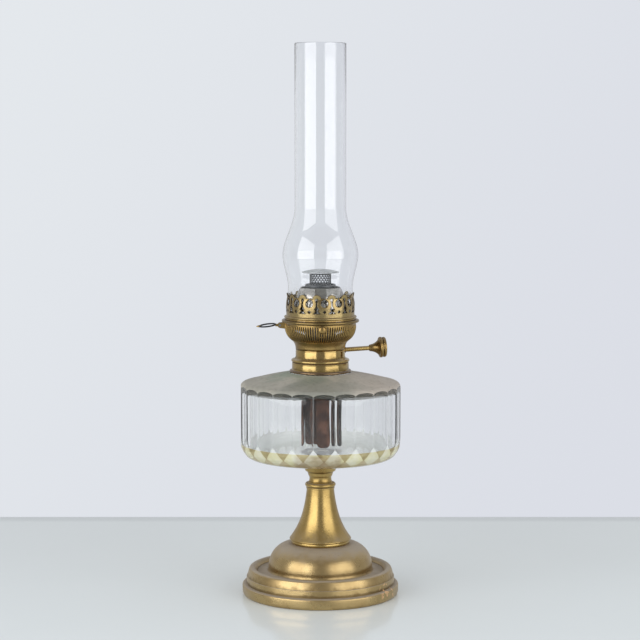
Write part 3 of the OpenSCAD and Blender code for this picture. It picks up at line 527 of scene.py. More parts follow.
def glass(name, tint, clarity=1.0, rough=0.0, bend=1.5):
    """Glass that lets the lamps' light through. tint is a colour, or a function of the
    wiring that gives one; what clarity leaves over is pale bloom on the surface, and bend
    is the index of refraction."""
    made, w, shader, end = material(name)
    colour = tint(w) if callable(tint) else tint
    w.feed(shader["Base Color"], colour)
    shader["Roughness"].default_value = rough
    shader["IOR"].default_value = bend
    shader["Transmission Weight"].default_value = clarity
    through = w.node("ShaderNodeBsdfTransparent")
    w.feed(through.inputs[0], colour)
    both = w.node("ShaderNodeMixShader")
    w.feed(both.inputs[0], w.node("ShaderNodeLightPath").outputs["Is Shadow Ray"])
    w.tree.links.new(w.tree.nodes["Principled BSDF"].outputs[0], both.inputs[1])
    w.tree.links.new(through.outputs[0], both.inputs[2])
    w.tree.links.new(both.outputs[0], end)
    return made


def dusty_glass_top(name):
    """Top of the font, under old dust: taupe, greenish beside the collar on the left, with a
    painted pinkish highlight at the right, painted shade in front, and scattered specks."""
    made, w, shader, _ = material(name)
    here = w.here()
    place = w.parts(here)
    away = w.from_axis(place)
    broad = w.noise(here, 28.0, 4.0, 0.6)
    fine = w.noise(here, 260.0, 5.0, 0.7)
    drift = w.times(w.minus(broad, 0.5), 0.05)
    green = w.times(w.step(w.plus(away, drift), 0.052, 0.026),
                   w.step(w.plus(place["X"], drift), 0.03, -0.02))
    # Painted highlight: lighter and pinkish over the right half
    pink_highlight = w.step(w.plus(place["X"], drift), 0.0, 0.055)
    colour = w.blend(w.step(broad, 0.35, 0.65), srgb(154, 151, 139), srgb(174, 169, 157))
    colour = w.cover(colour, srgb(184, 172, 161), pink_highlight, 0.6)
    colour = w.cover(colour, srgb(134, 149, 131), green, 0.75)
    # Painted shade: darker in front, about the middle
    middle = w.step(w.plus(w.calc("ABSOLUTE", place["X"]), drift), 0.05, 0.008)
    front = w.times(middle, w.step(w.plus(place["Y"], drift), -0.015, -0.05))
    colour = w.cover(colour, srgb(112, 116, 108), front, 0.6)
    colour = w.cover(colour, srgb(112, 106, 96), w.step(fine, 0.5, 0.7), 0.3)
    specks = w.noise(here, 420.0, 2.0, 0.5)
    colour = w.cover(colour, srgb(94, 80, 66), w.step(specks, 0.71, 0.76), 0.7)
    colour = w.cover(colour, srgb(214, 208, 198), w.step(specks, 0.27, 0.23), 0.6)
    w.feed(shader["Base Color"], colour)
    w.feed(shader["Roughness"], w.step(fine, 0.3, 0.8, 0.42, 0.7))
    w.feed(shader["Normal"], w.bump(w.plus(fine, specks), 0.12, 0.0003))
    return made


def wick_cotton(name):
    """Soaked cotton tape: a woven rib along and across the tape, brown, charred black at the
    burning end, and with painted shade, a dark grey, over the second of its four tails."""
    made, w, shader, _ = material(name)
    across = w.parts(w.node("ShaderNodeUVMap", uv_map="tape").outputs[0])
    here = w.here()
    high = w.parts(here)["Z"]
    clouds = w.noise(here, 90.0, 4.0, 0.6)
    fibre = w.noise(here, 1400.0, 3.0, 0.6)
    warp_ribs, weft_ribs = 44, 110
    warp = w.calc("SINE", w.times(across["X"], TURN * warp_ribs))
    weft = w.calc("SINE", w.times(across["Y"], TURN * weft_ribs))
    weave = w.times(warp, weft)
    colour = w.blend(w.step(clouds, 0.35, 0.7), srgb(58, 36, 27), srgb(104, 70, 55))
    colour = w.blend(w.step(fibre, 0.58, 0.75), colour, srgb(124, 96, 80))
    # Painted shade: the second tail, which hangs in shadow, is laid over with dark grey
    side = w.times(w.step(across["X"], 0.24, 0.27), w.step(across["X"], 0.51, 0.48))
    colour = w.cover(colour, srgb(32, 32, 33), side, 0.85)
    char_low = (tube_bottom_z + 40) * MM
    colour = w.blend(w.step(high, char_low, char_low + 0.02), colour, srgb(34, 30, 28))
    w.feed(shader["Base Color"], colour)
    shader["Roughness"].default_value = 0.85
    shader["Specular IOR Level"].default_value = 0.05
    w.feed(shader["Normal"], w.bump(w.plus(weave, fibre), 0.5, 0.0003))
    return made


BRASS_DUST = (165, 153, 136)
SATIN = (188, 161, 102), (147, 118, 67), BRASS_DUST, 0.25
satin_brass = metal("satin_brass", *SATIN, dusty=0.85)
cup_brass = metal("cup_brass", *SATIN, dusty=0.45)
foot_brass = metal("foot_brass", (187, 163, 116), (150, 123, 80), (168, 157, 143), 0.25,
                   dusty=0.85, chipped=(0.0555, -0.033, 0.006))
polished_brass = metal("polished_brass", (188, 162, 106), (144, 117, 66), BRASS_DUST, 0.11,
                       dusty=0.35, grime=0.9, marks=0.1)
aged_brass = metal("aged_brass", (164, 137, 86), (104, 80, 48), (124, 110, 90), 0.24,
                   dusty=0.6, grime=0.95, marks=0.2)
steel = metal("steel", (150, 152, 154), (98, 96, 92), (136, 132, 126), 0.26, dusty=0.4)
dark_tin = metal("dark_tin", (168, 165, 160), (92, 72, 54), (92, 86, 80), 0.07,
                 dusty=0.15, marks=0.06)
gallery_brass = metal("gallery_brass", (178, 157, 110), (112, 91, 62), (136, 122, 104), 0.2,
                      dusty=0.45, grime=1.0, marks=0.2)
rim_brass = metal("rim_brass", (142, 120, 78), (72, 56, 36), (102, 90, 74), 0.18,
                  dusty=0.35, grime=1.0, marks=0.15)
flange_brass = metal("flange_brass", (138, 115, 88), (82, 66, 56), (132, 120, 114), 0.2,
                     dusty=0.5, grime=1.0, marks=0.15, scale=1.6)
sooty_steel = metal("sooty_steel", (70, 71, 74), (42, 40, 40), (66, 66, 68), 0.3, dusty=0.4)
ash_steel = plain("ash_steel", (184, 187, 189), (150, 152, 154), 0.45, scale=260.0, metallic=0.25)
cast_iron = plain("cast_iron", (74, 72, 70), (46, 44, 42), 0.65, metallic=0.6)
plaster = plain("plaster", (208, 200, 184), (176, 166, 148), 0.85)
leather = plain("leather", (84, 62, 44), (58, 42, 30), 0.7, scale=400.0)
font_clear = glass("font_clear", (0.938, 0.944, 0.938, 1.0), clarity=0.996, bend=1.42)
# Painted highlights: whitish, partly clear glass on the narrow strips along the panels' ridges
font_ridge_highlight = glass("font_ridge_highlight", (0.94, 0.955, 0.95, 1.0), clarity=0.86, rough=0.06, bend=1.42)
font_top = dusty_glass_top("font_top")
chimney_glass = glass("chimney_glass", (0.972, 0.976, 0.982, 1.0))
wick_cloth = wick_cotton("wick_cloth")

for finish, nodes in (
    (cast_iron, ["base_weight"]),
    (steel, ["tie_rod", "tie_washer", "tie_nut", "air_tube", "lever_pin"]),
    (plaster, ["cup_cement", "collar_cement"]),
    (leather, ["burner_gasket"]),
    (aged_brass, ["air_bridge", "shaft_bush", "lever_bracket", "winder_pinion"]),
    (aged_brass, ["wick_carrier", "wick_rack", "gallery_plate", "lift_lever"]),
):
    for node in nodes:
        slots = frame["nodes"][node].data.materials
        slots.clear()
        slots.append(finish)


# Foot and stem

flange_h = 9.0
tier_z = 15.0
lip_z = 22.5
moat_z = 19.1
tier_r = base_r - 3.5
lip_r = tier_r - 4.5
dome_r = lip_r - 13.8
dome_top_r = stem_foot_r - 0.6
rod_hole_r = 3.2
foot_wall = 1.8


def foot_profile():
    """Rolled flange, upright band, lip with a moat behind it, and a dome, then back
    along the inside of the sheet."""
    roll = 1.6
    lip_foot = (tier_r - 1.9, tier_z + 5.1)
    dome_foot_z = moat_z + 4
    dome = ((dome_top_r, dome_foot_z), dome_r - dome_top_r, dome_z - dome_foot_z)
    under = ((dome_top_r, dome_foot_z), dome[1] - foot_wall, dome[2] - foot_wall)
    outside = outline(
        [(base_r - 2.7, 0.0), (base_r - 1.3, 0.3), (base_r - 0.4, 1.6), (base_r, 3.4)],
        arc((base_r - roll, flange_h - roll), roll, roll, 0, 84, 12),
        [(tier_r, flange_h + 0.1), (tier_r, tier_z - 0.1), (tier_r - 0.5, tier_z + 0.1)],
        curve(lip_foot, (lip_foot[0] - 0.6, lip_z), (lip_r, lip_z), 14),
        curve((lip_r - 1, lip_z), (lip_r - 2.6, lip_z), (lip_r - 4.5, moat_z), 12),
        curve((dome_r + 2.8, moat_z), (dome_r, moat_z), (dome_r, dome_foot_z), 12),
        arc(*dome, 4, 90, 44),
        [(rod_hole_r, dome_z)],
    )
    inside = outline(
        [(rod_hole_r, dome_z - foot_wall)],
        arc(*under, 90, 0, 16),
        [(dome_r - foot_wall, moat_z - foot_wall), (lip_r - 4.5, moat_z - foot_wall)],
        [(lip_r - 1.5, lip_z - 2.2), (lip_r + 0.4, lip_z - 2.0)],
        [(lip_foot[0] - foot_wall, lip_foot[1] - 0.4)],
        [(tier_r - foot_wall, tier_z), (tier_r - foot_wall, 0.0)],
    )
    return section(0.35, outside, inside)


def bell_profile():
    """Band at the foot, then a bell whose radius falls away exponentially."""
    top_r = 11.3
    bell_z = dome_z + 4.6
    fall = np.linspace(0, 1, 49)
    share = (np.exp(-2 * fall) - math.exp(-2)) / (1 - math.exp(-2))
    bell = np.stack([top_r + (stem_foot_r - 0.2 - top_r) * share, bell_z + (stem_z - bell_z) * fall], -1)
    band = outline(
        [(stem_foot_r - 2.2, dome_z)],
        arc((stem_foot_r - 1.9, dome_z + 1.7), 0.8, 1.6, -80, 70, 12),
        arc((stem_foot_r - 0.7, bell_z - 0.7), 0.7, 0.7, -80, 70, 8),
    )
    inside = [(rod_hole_r, stem_z), (rod_hole_r, stem_z - 2.5), (8.0, stem_z - 2.5)]
    hollow = bell[40::-4] - [foot_wall, 0]
    return section(0.25, band, bell, inside, hollow, [(stem_foot_r - 4.2, dome_z)])


def bead_profile():
    """Collet and rolled bead above the stem."""
    roll = 1.78
    centre = (bead_r - roll, stem_z + 1.53 + roll)
    return section(
        0.2,
        [(rod_hole_r, stem_z), (11.8, stem_z), (11.8, stem_z + 1.3)],
        arc(centre, roll, roll, -78, 78, 20),
        [(centre[0] - 0.6, cup_z), (rod_hole_r, cup_z)],
    )


def cup_profile():
    """Waisted neck, a step, and the flared mouth that holds the glass peg."""
    waist = 9.1
    step_z = cup_z + 9.7
    return section(
        0.25,
        [(rod_hole_r, cup_z), (waist + 1.2, cup_z), (waist + 0.9, cup_z + 0.5)],
        curve((waist + 0.5, cup_z + 0.8), (waist - 0.6, cup_z + 4), (waist + 0.5, cup_z + 5.4), 14),
        curve((waist + 1, cup_z + 6.6), (waist + 1.6, step_z - 0.6), (11.4, step_z - 0.4), 10),
        curve((12.4, step_z), (14.4, step_z + 4), (cup_r, font_z), 20),
        [(8.9, font_z), (8.9, font_z - 8.5), (rod_hole_r, font_z - 8.5)],
    )


piece("foot", [lathe(foot_profile(), n=192)], [foot_brass], "stand", "base_foot")
piece("bell_stem", [lathe(bell_profile())], [satin_brass], "stand", "stem_column")
piece("bead_ring", [lathe(bead_profile())], [satin_brass], "stand", "stem_bead")
piece("cup", [lathe(cup_profile())], [cup_brass], "stand", "font_cup")


# Glass font

PANELS = 24
PANEL_STEPS = 12
CLEAR, DUSTY, EDGE, RIDGE_HIGHLIGHT = range(4)
panel_bearing = math.radians(-87.4)
half_panel = math.pi / PANELS
panel_r = ridge_r * math.cos(half_panel)
wall_z = font_z + 17.5
shoulder_z = wall_z + 41
top_z = shoulder_z + 5.5
shoulder_r = ridge_r + 0.05
shoulder_in = 4.7
bevel_r = ridge_r + 0.3
bevel_in = 3.6
bevel_z = font_z + 5.25
facet_z = wall_z - 0.4
facet_slope = 0.105
ridge_w = 0.9
# Share of a panel's width that a slanting flat takes up, for each millimetre below its head
flat_spread = 0.5 * facet_slope / (ridge_r * math.sin(half_panel) ** 2)
edge_top_z = facet_z - 3.9
glass_t = 6.0
inner_r = ridge_r - glass_t
floor_z = font_z + glass_t
peg_r = 8.3
peg_z = font_z - 8
land_r = collar_flange_r + 0.4
neck_in_r = 19.52
neck_r = 22.12


def shoulder(t):
    """Round shoulder: t runs from 0 at the upright wall to 1 at the edge of the top."""
    high = top_z - shoulder_z
    return shoulder_r - shoulder_in * t ** 2, shoulder_z + 2 * t * (1 - t) * (high - 0.4) + t ** 2 * high


def shoulder_meets_panel(off):
    """Place t on the shoulder where the flat panel cuts it, off radians from its middle."""
    return np.sqrt((shoulder_r - panel_r / np.cos(off)) / shoulder_in)


def bevel(t):
    """Upper part of the rounded lower edge: t runs from 0 below to 1 at the wall."""
    lean = 4.375
    return bevel_r - bevel_in * (1 - t) ** 2, bevel_z + 2 * t * (1 - t) * lean + t ** 2 * (wall_z - bevel_z)


def facet_r(off, z):
    """Radius of the slanting flat at a ridge, off radians to its side."""
    return (ridge_r - (facet_z - z) * facet_slope) / np.cos(off)


def bevel_meets_facet(off):
    """Place t on the lower edge where the slanting flat cuts it, found by halving."""
    low, high = np.zeros_like(off), np.full_like(off, 0.75)
    for _ in range(40):
        t = (low + high) / 2
        r, z = bevel(t)
        inside = r < facet_r(off, z)
        low, high = np.where(inside, t, low), np.where(inside, high, t)
    return (low + high) / 2


def bevel_meets_panel(off):
    """Place t on the lower edge where the flat panel cuts it, off radians from its middle."""
    return 1 - np.sqrt((bevel_r - panel_r / np.cos(off)) / bevel_in)


def bevel_top(off_ridge):
    """Place t where the lower edge ends, at the flat that lies deeper."""
    return np.minimum(bevel_meets_facet(off_ridge), bevel_meets_panel(half_panel - np.abs(off_ridge)))


def facet_head(off_ridge):
    """Height where the slanting flat runs out on the panel beside it."""
    level = ridge_r - panel_r * np.cos(off_ridge) / np.cos(half_panel - np.abs(off_ridge))
    return np.maximum(facet_z - level / facet_slope, bevel(bevel_top(off_ridge))[1])


def spun(r, z, angle):
    """Points from radius, height and bearing, as whole arrays."""
    r, z, angle = np.broadcast_arrays(r, z, angle)
    return np.stack([r * np.cos(angle), r * np.sin(angle), z], -1)


def font_patches():
    """The font's glass: 24 flat panels that run up in arches into a round shoulder, and
    down in points between slanting flats, over a rounded lower edge; smooth inside."""
    steps = np.linspace(-half_panel, half_panel, PANEL_STEPS + 1)
    edge = half_panel - ridge_w / 2 / ridge_r
    steps = np.sort(np.r_[steps, -edge, edge])
    ridge_steps = np.r_[steps[steps >= 0] - half_panel, steps[steps <= 0][1:] + half_panel]
    rise = np.linspace(0, 1, 25)[:, None]
    middles = panel_bearing + 2 * half_panel * np.arange(PANELS)
    around = np.r_[(middles[:, None] + steps[:-1]).ravel(), middles[0] - half_panel + TURN]
    off_panel = np.r_[np.tile(steps[:-1], PANELS), steps[0]]
    off_ridge = half_panel - np.abs(off_panel)
    arch = shoulder_meets_panel(off_panel)
    cut = bevel_top(off_ridge)
    t_up = arch + (1 - arch) * rise
    t_low = cut * rise
    top_line = np.linspace(1, 0, 13)[:, None]
    crest_r, crest_z = shoulder(1.0)
    cap_r = land_r + (crest_r - land_r) * top_line
    cap_z = land_z + (crest_z - land_z) * top_line + 0.5 * np.sin(math.pi * top_line)
    patches = [
        (spun(*shoulder(t_up), around), DUSTY, 0.0),
        (spun(cap_r, cap_z, around), DUSTY, 0.0),
        (spun(*bevel(t_low), around), EDGE, 0.0),
    ]
    low_edge = outline(
        [(peg_r, peg_z), (peg_r, font_z)],
        curve((bevel_r - 14, font_z), (bevel_r - 7.5, font_z + 0.5), (bevel_r - 4.5, font_z + 3.85), 16),
        [(bevel_r - bevel_in, bevel_z)],
    )
    neck = outline(
        [(land_r, land_z), (neck_r, land_z), (neck_r, neck_z), (neck_in_r, neck_z)],
        [(neck_in_r, land_z - 3), (neck_in_r + 2, land_z - 5)],
        curve((inner_r - 6, shoulder_z + 1.4), (inner_r, shoulder_z + 0.5), (inner_r, shoulder_z - 4), 16),
        curve((inner_r, floor_z + 4.5), (inner_r, floor_z), (inner_r - 6, floor_z), 12),
        [(0.0, floor_z)],
    )
    patches += [(spun(*[c[:, None] for c in low_edge.T], around), EDGE, 0.0)]
    patches += [(spun(*[c[:, None] for c in neck.T], around), CLEAR, 0.0)]
    patches += [(spun(np.array([[0.0], [peg_r]]), peg_z, around), CLEAR, 0.0)]
    foot = facet_head(half_panel - np.abs(steps))
    split = np.maximum(foot, edge_top_z)
    head = shoulder(shoulder_meets_panel(steps))[1]
    low = foot + (split - foot) * np.linspace(0, 1, 5)[:, None]
    high = split + (head - split) * np.linspace(0, 1, 9)[:, None]
    base = bevel(bevel_top(ridge_steps))[1]
    flat_z = base + (facet_head(ridge_steps) - base) * np.linspace(0, 1, 9)[:, None]
    # The outer steps of each panel, ridge_w wide at the ridges, carry the painted ridge highlights
    runs = [(slice(0, 2), RIDGE_HIGHLIGHT), (slice(1, -1), CLEAR), (slice(-2, None), RIDGE_HIGHLIGHT)]
    flat_r = facet_r(ridge_steps, flat_z)
    for middle in middles:
        wall = panel_r / np.cos(steps)
        patches.append((spun(wall, low, middle + steps), EDGE, 0.0))
        patches += [(spun(wall, high, middle + steps)[:, run], finish, 0.0) for run, finish in runs]
        patches.append((spun(flat_r, flat_z, middle + half_panel + ridge_steps), EDGE, 0.0))
    return patches


def edge_painted_refraction(w):
    """Lower edge of the font, painted with the refracted image of the brass foot: pale triangles
    at the ridges, cream flats below them and olive points that hang between, told apart by the
    bearing from the nearest ridge and the depth below the flats' upper ends, with tan wedges that
    rise to meet the points, and a painted brown reflection of the wick in front; pale from inside."""
    place = w.parts(w.here())
    bearing = w.minus(w.calc("ARCTAN2", place["Y"], place["X"]), panel_bearing - half_panel)
    share = w.calc("FRACT", w.calc("DIVIDE", bearing, 2 * half_panel))
    from_ridge = w.minus(0.5, w.calc("ABSOLUTE", w.minus(share, 0.5)))
    below = w.minus(facet_z, w.calc("DIVIDE", place["Z"], MM))
    on_flat = w.step(w.minus(w.times(below, flat_spread), from_ridge), -0.012, 0.012)
    cloud = w.step(w.noise(w.here(), 75.0, 3.0, 0.6), 0.35, 0.7)
    cream = w.blend(cloud, srgb(226, 219, 168), srgb(238, 234, 204))
    olive = w.blend(cloud, srgb(160, 142, 88), srgb(192, 178, 122))
    flat = w.blend(w.step(below, 3.7, 4.2), srgb(246, 248, 247), cream)
    colour = w.blend(on_flat, olive, flat)
    colour = w.blend(w.step(below, 11.5, 15.5, 0.0, 0.75), colour, srgb(206, 192, 146))
    under = w.times(w.minus(below, 9.6), 0.075)
    wedge = w.step(w.plus(from_ridge, under), 0.48, 0.52)
    colour = w.cover(colour, srgb(172, 148, 98), wedge, 0.6)
    # Painted reflection of the wick: brown over the front of the lower edge
    aside = w.calc("ABSOLUTE", w.plus(place["X"], 0.002))
    wick_reflection = w.times(w.step(aside, 0.021, 0.016, 0.0, 0.62), w.step(place["Y"], -0.03, -0.04))
    wick_reflection = w.times(wick_reflection, w.step(below, 4.0, 6.5))
    wick_reflection = w.times(wick_reflection, w.step(cloud, 0.0, 1.0, 1.0, 0.55))
    colour = w.blend(wick_reflection, colour, srgb(138, 104, 76))
    from_inside = w.node("ShaderNodeNewGeometry").outputs["Backfacing"]
    return w.blend(from_inside, colour, srgb(240, 242, 240))


# Glass of the lower edge, partly clear, carrying the painted refraction of the foot and reflection of the
# wick
font_edge_painted_refraction = glass("font_edge_painted_refraction", edge_painted_refraction, clarity=0.45, rough=0.06)
font_finishes = [font_clear, font_top, font_edge_painted_refraction, font_ridge_highlight]
piece("font", font_patches(), font_finishes, "stand", "font_glass", crease=5)


# Collar and burner

collar_r = 23.47
thread_r = 17.52
thread_wall = 0.8
ring_r = 17.42
ring_in_r = 16.32
bore_r = 12.15
drum_r = 20.42
lever_half_w = 1.6
basket_r = rim_r - 2.5
rim_z = rim_top_z - 2.3


def collar_profile():
    """Foot flange, upright bright band and the threaded sleeve inside."""
    soft = 1.05
    return section(
        0.22,
        [(collar_r - 0.6, land_z), (collar_flange_r - soft, land_z)],
        arc((collar_flange_r - soft, land_z + soft), soft, soft, -90, 80, 16),
        [(collar_r + 0.5, land_z + 2.2), (collar_r, land_z + 2.9), (collar_r, collar_z - 1.3)],
        [(collar_r - 0.25, collar_z - 0.9), (collar_r, collar_z - 0.6), (collar_r - 0.3, collar_z)],
        [(thread_r, collar_z), (thread_r, collar_z - 10.7), (thread_r + thread_wall, collar_z - 10.7)],
        [(thread_r + thread_wall, collar_z - 0.6), (collar_r - 0.6, collar_z - 0.6)],
    )


def drum_profile():
    """Bead, bright upright drum with a scored line, and the threaded ring below."""
    roll = 1.2
    return section(
        0.2,
        [(bore_r, burner_z), (ring_in_r, burner_z), (ring_in_r, burner_z - 9.7), (ring_r, burner_z - 9.7)],
        [(ring_r, burner_z)],
        arc((drum_bead_r - roll, burner_z + roll), roll, roll, -90, 84, 18),
        curve((drum_r + 2.1, burner_z + 2.55), (drum_r + 0.3, burner_z + 3.0), (drum_r, burner_z + 4.6), 10),
        [(drum_r, burner_z + 9.2), (drum_r - 0.25, burner_z + 9.5), (drum_r - 0.25, drum_z)],
        [(drum_r - 0.75, drum_z), (drum_r - 0.75, bowl_z), (drum_r - 1.4, bowl_z)],
        [(drum_r - 1.4, burner_z + 1), (bore_r, burner_z + 1)],
    )


def bowl_outline():
    """Plain neck, concave sweep and full belly of the air basket, up to the rim."""
    bowl_h = rim_z - bowl_z
    low = (drum_r + 0.35 * (basket_r - drum_r), bowl_z + 0.29 * bowl_h)
    centre = (drum_r + 0.1, rim_z - 0.12 * bowl_h)
    return outline(
        [(drum_r, drum_z), (drum_r, drum_z + 0.6)],
        curve((drum_r, bowl_z - 0.4), (drum_r + 0.5, bowl_z + 0.2 * bowl_h), low, 14),
        arc(centre, basket_r - drum_r - 0.2, 0.61 * bowl_h, -56, 0, 26),
        [(basket_r - 0.1, rim_z)],
    )


SLITS = 90
slit_pitch = TURN * basket_r / SLITS
slit_half_w = 0.43125
belly = bowl_outline()
belly_along = way_along(belly)
slit_low = np.interp(bowl_z + 5.67, belly[:, 1], belly_along)
slit_high = np.interp(bowl_z + 19.1, belly[:, 1], belly_along)
lever_low = np.interp(rim_z - 8, belly[:, 1], belly_along)


def basket_metal(u, v):
    """Distance to the nearest air slit or to the lever's hole: u is the bearing at the
    rim's radius, v the way up the bowl's outline."""
    across = np.abs(u % slit_pitch - slit_pitch / 2) - slit_half_w
    along = np.maximum(slit_low - v, v - slit_high)
    lever_hole = np.maximum(np.abs(u - math.pi * basket_r) - lever_half_w, lever_low - v)
    return np.minimum(np.maximum(across, along), lever_hole)


def basket_place(u, v):
    """The bowl's outline carried round, with the ribs between the slits slightly full."""
    rib_h = 0.22
    r, z = np.interp(v, belly_along, belly[:, 0]), np.interp(v, belly_along, belly[:, 1])
    inside = np.clip(np.minimum(v - slit_low, slit_high - v) / 2, 0, 1)
    r = r + rib_h * inside * np.cos(TURN * u / slit_pitch) ** 2
    return r * np.cos(u / basket_r), r * np.sin(u / basket_r), z


def make_basket():
    """Slit bowl, with grid lines on the slits' sides and ends and on the ribs."""
    half, rib = slit_pitch / 2, 0.27
    local = np.array([0.0, rib, half - slit_half_w, half, half + slit_half_w, slit_pitch - rib])
    u = np.r_[(np.arange(SLITS)[:, None] * slit_pitch + local).ravel(), SLITS * slit_pitch]
    upper = np.linspace(belly_along[12], belly_along[-1], 34)
    v = np.unique(np.r_[belly_along[:12:3], upper, slit_low, slit_high])
    v = v[np.r_[True, np.diff(v) > 0.12]]
    made = pierced("air_basket", u, v, basket_metal, basket_place, aged_brass)
    dressed(thicken(made, 0.7), "burner", "burner_basket")


make_basket()
collar = collar_profile()
flange_rows = int(np.argmax(collar[:, 1] > land_z + 2.3))
collar_patches = [lathe(collar[flange_rows:]), lathe(collar[:flange_rows + 1], 1)]
piece("collar", collar_patches, [polished_brass, flange_brass], "stand", "font_collar")
piece("drum", [lathe(drum_profile())], [polished_brass], "burner", "burner_drum")


def ring_sector(profile, start, end, n):
    """A closed section carried round from one bearing to another, with its ends filled."""
    bearing = np.radians(np.linspace(start, end, n + 1))
    wall = spun(*[c[:, None] for c in profile.T], bearing)
    middle = profile[:-1].mean(0)
    fill = np.stack([profile, np.broadcast_to(middle, profile.shape)])
    sides = (fill, bearing[0]), (fill[::-1], bearing[-1])
    ends = [(spun(side[..., 0], side[..., 1], b), 0, 0.0) for side, b in sides]
    return [(wall, 0, relief_of(profile)[:, None])] + ends


def rim_patches():
    """Rolled rim of the basket, notched from below where the lever goes through."""
    roll = (rim_top_z - rim_z) / 2
    centre = (rim_r - roll, rim_z + roll)
    lever_gap = math.degrees(lever_half_w / basket_r)
    whole = section(
        0.2,
        [(basket_r - 0.8, rim_z - 0.6), (basket_r + 0.1, rim_z - 0.6), (basket_r + 0.4, rim_z)],
        arc(centre, roll, roll, -90, 90, 18),
        [(basket_r - 0.8, rim_top_z)],
    )
    bridge = closed(outline(
        [(basket_r - 0.8, rim_top_z - 0.5)],
        arc(centre, roll, roll, 35, 90, 8),
        [(basket_r - 0.8, rim_top_z)],
    ))
    return (ring_sector(whole, 180 + lever_gap, 540 - lever_gap, 144)
            + ring_sector(bridge, 180 - lever_gap, 180 + lever_gap, 4))


def stud_patches():
    """Three rivets with domed heads on the basket, each turned about its own radius."""
    head_r, dome, shank_r = 3.2, 1.8, 1.2
    rivet = outline(
        [(0.0, -4.2), (shank_r, -4.2), (shank_r, 0.0), (head_r - 0.1, 0.0)],
        arc((0.0, 0.25), head_r, dome - 0.25, 0, 90, 14),
    )
    patches = []
    for bearing in np.radians([-87, 33, 153]):
        out = np.array([math.cos(bearing), math.sin(bearing), 0.0])
        start = (basket_r + 0.05) * out + [0, 0, rim_z - 4]
        patches.append(placed(lathe(rivet, n=40, width=0.5), start, out))
    return patches


piece("basket_rim", rim_patches(), [rim_brass], "burner", "burner_basket")
piece("studs", stud_patches(), [aged_brass], "burner", "guide_studs")


# Wick tube, deflector and flame spreader

def tube_profile():
    """Thin upright tube with a rolled lip."""
    in_r, out_r, lip_h = 11.6, 12.1, 2.9
    lip = tube_lip_r - in_r
    return section(
        0.12,
        [(in_r, tube_bottom_z), (out_r, tube_bottom_z), (out_r, tube_top_z - lip_h)],
        arc((tube_lip_r - lip, tube_top_z - lip_h + lip), lip, lip, -60, 0, 8),
        arc((tube_lip_r - lip, tube_top_z - lip), lip, lip, 0, 90, 8),
    )


def cone_profile():
    """Deflector: a cone whose wall curves in towards the flame's opening."""
    high = cone_top_z - crown_z
    wall = curve((cone_r, crown_z), (cone_r - 1.7, crown_z + 0.57 * high), (16.5, cone_top_z), 32)
    return section(0.15, wall, wall[::-4] - [0.6, 0.1])


thimble_r = 8.85
THIMBLE_HOLES = 22
THIMBLE_ROWS = 5


def disc_profile():
    """Flame disc: flat below, thin rolled edge, slightly domed on top."""
    edge = 0.5
    return section(
        0.1,
        [(0.0, disc_z), (thimble_r, disc_z), (disc_r - edge, disc_z + 0.5)],
        arc((disc_r - edge, disc_z + 1), edge, edge, -90, 60, 10),
        curve((disc_r - 1.4, disc_z + 1.62), (disc_r - 6, disc_z + 3.3), (0.0, disc_z + 3.6), 16),
    )


def thimble_metal(u, v):
    """Distance to the nearest of five rows of holes, alternate rows half a step on. The holes
    are diamonds, so what is left between them is a lattice of crossing strips. The lattice
    is turned by a quarter step, so that a hole in front shows a hole of the row behind it."""
    low_band, both_bands, hole = 1.2, 1.6, 0.8
    pitch = TURN * thimble_r / THIMBLE_HOLES
    step = (disc_z - air_top_z - both_bands) / THIMBLE_ROWS
    row = np.clip(np.round((v - low_band) / step - 0.5), 0, THIMBLE_ROWS - 1)
    du = (u + pitch * (0.25 + 0.5 * (row % 2 == 0))) % pitch - pitch / 2
    across = np.abs(du) / (pitch / 2) + np.abs(v - low_band - step * (row + 0.5)) / step
    return (across - hole) * (pitch / 2) * step / np.hypot(pitch / 2, step)


def thimble_place(u, v):
    """The thimble's wall: u is the way round it, v the way up."""
    return thimble_r * np.cos(u / thimble_r), thimble_r * np.sin(u / thimble_r), air_top_z + v


def make_thimble():
    """Perforated wall, and the plain neck that plugs into the air tube."""
    u = np.linspace(0, TURN * thimble_r, THIMBLE_HOLES * 10 + 1)
    v = np.linspace(0, disc_z - air_top_z, 54)
    made = pierced("thimble", u, v, thimble_metal, thimble_place, sooty_steel)
    dressed(thicken(made, 0.25), "spreader", "spreader_thimble")
    plug_r, flange_r, sheet, depth = 7.6, thimble_r - 0.05, 0.5, 10.0
    neck = closed(outline(
        [(plug_r - sheet, air_top_z - depth), (plug_r, air_top_z - depth), (plug_r, air_top_z)],
        [(flange_r, air_top_z), (flange_r, air_top_z + sheet), (plug_r - sheet, air_top_z + sheet)],
    ))
    piece("thimble_neck", [lathe(neck, n=96)], [steel], "spreader", "spreader_thimble")


piece("tube", [lathe(tube_profile())], [sooty_steel], "burner", "wick_tube")
piece("deflector", [lathe(cone_profile())], [dark_tin], "gallery", "deflector_cone")
piece("flame_disc", [lathe(disc_profile())], [ash_steel], "spreader", "spreader_disc")
make_thimble()


# Crown of the gallery

MEDALLIONS = 14
crown_r = 28.1
crown_h = crown_top_z - crown_z
crown_half = math.pi / MEDALLIONS
crown_first = math.radians(-83.2)
window_h, window_r, window_bar = 13.7, 3.1, 1.35
lobe_r = crown_h - window_h - 3
lobe_h = crown_h - lobe_r
crown_wall = outline(
    [(crown_r + 0.4, 0.0)],
    arc((crown_r + 0.9, 0.9), 0.9, 0.9, -80, 80, 14),
    [(crown_r, 2.1)],
    curve((crown_r + 0.1, 6.0), (crown_r + 0.6, 12.0), (27.4, 16.9), 20),
    [(28.0, crown_h)],
)
crown_along = way_along(crown_wall)


def to_nearest(u, first):
    """Sideways distance from the nearest of the evenly spaced bearings, seen flat."""
    turn = (u / crown_r - first + crown_half) % (2 * crown_half) - crown_half
    return crown_r * np.sin(turn)


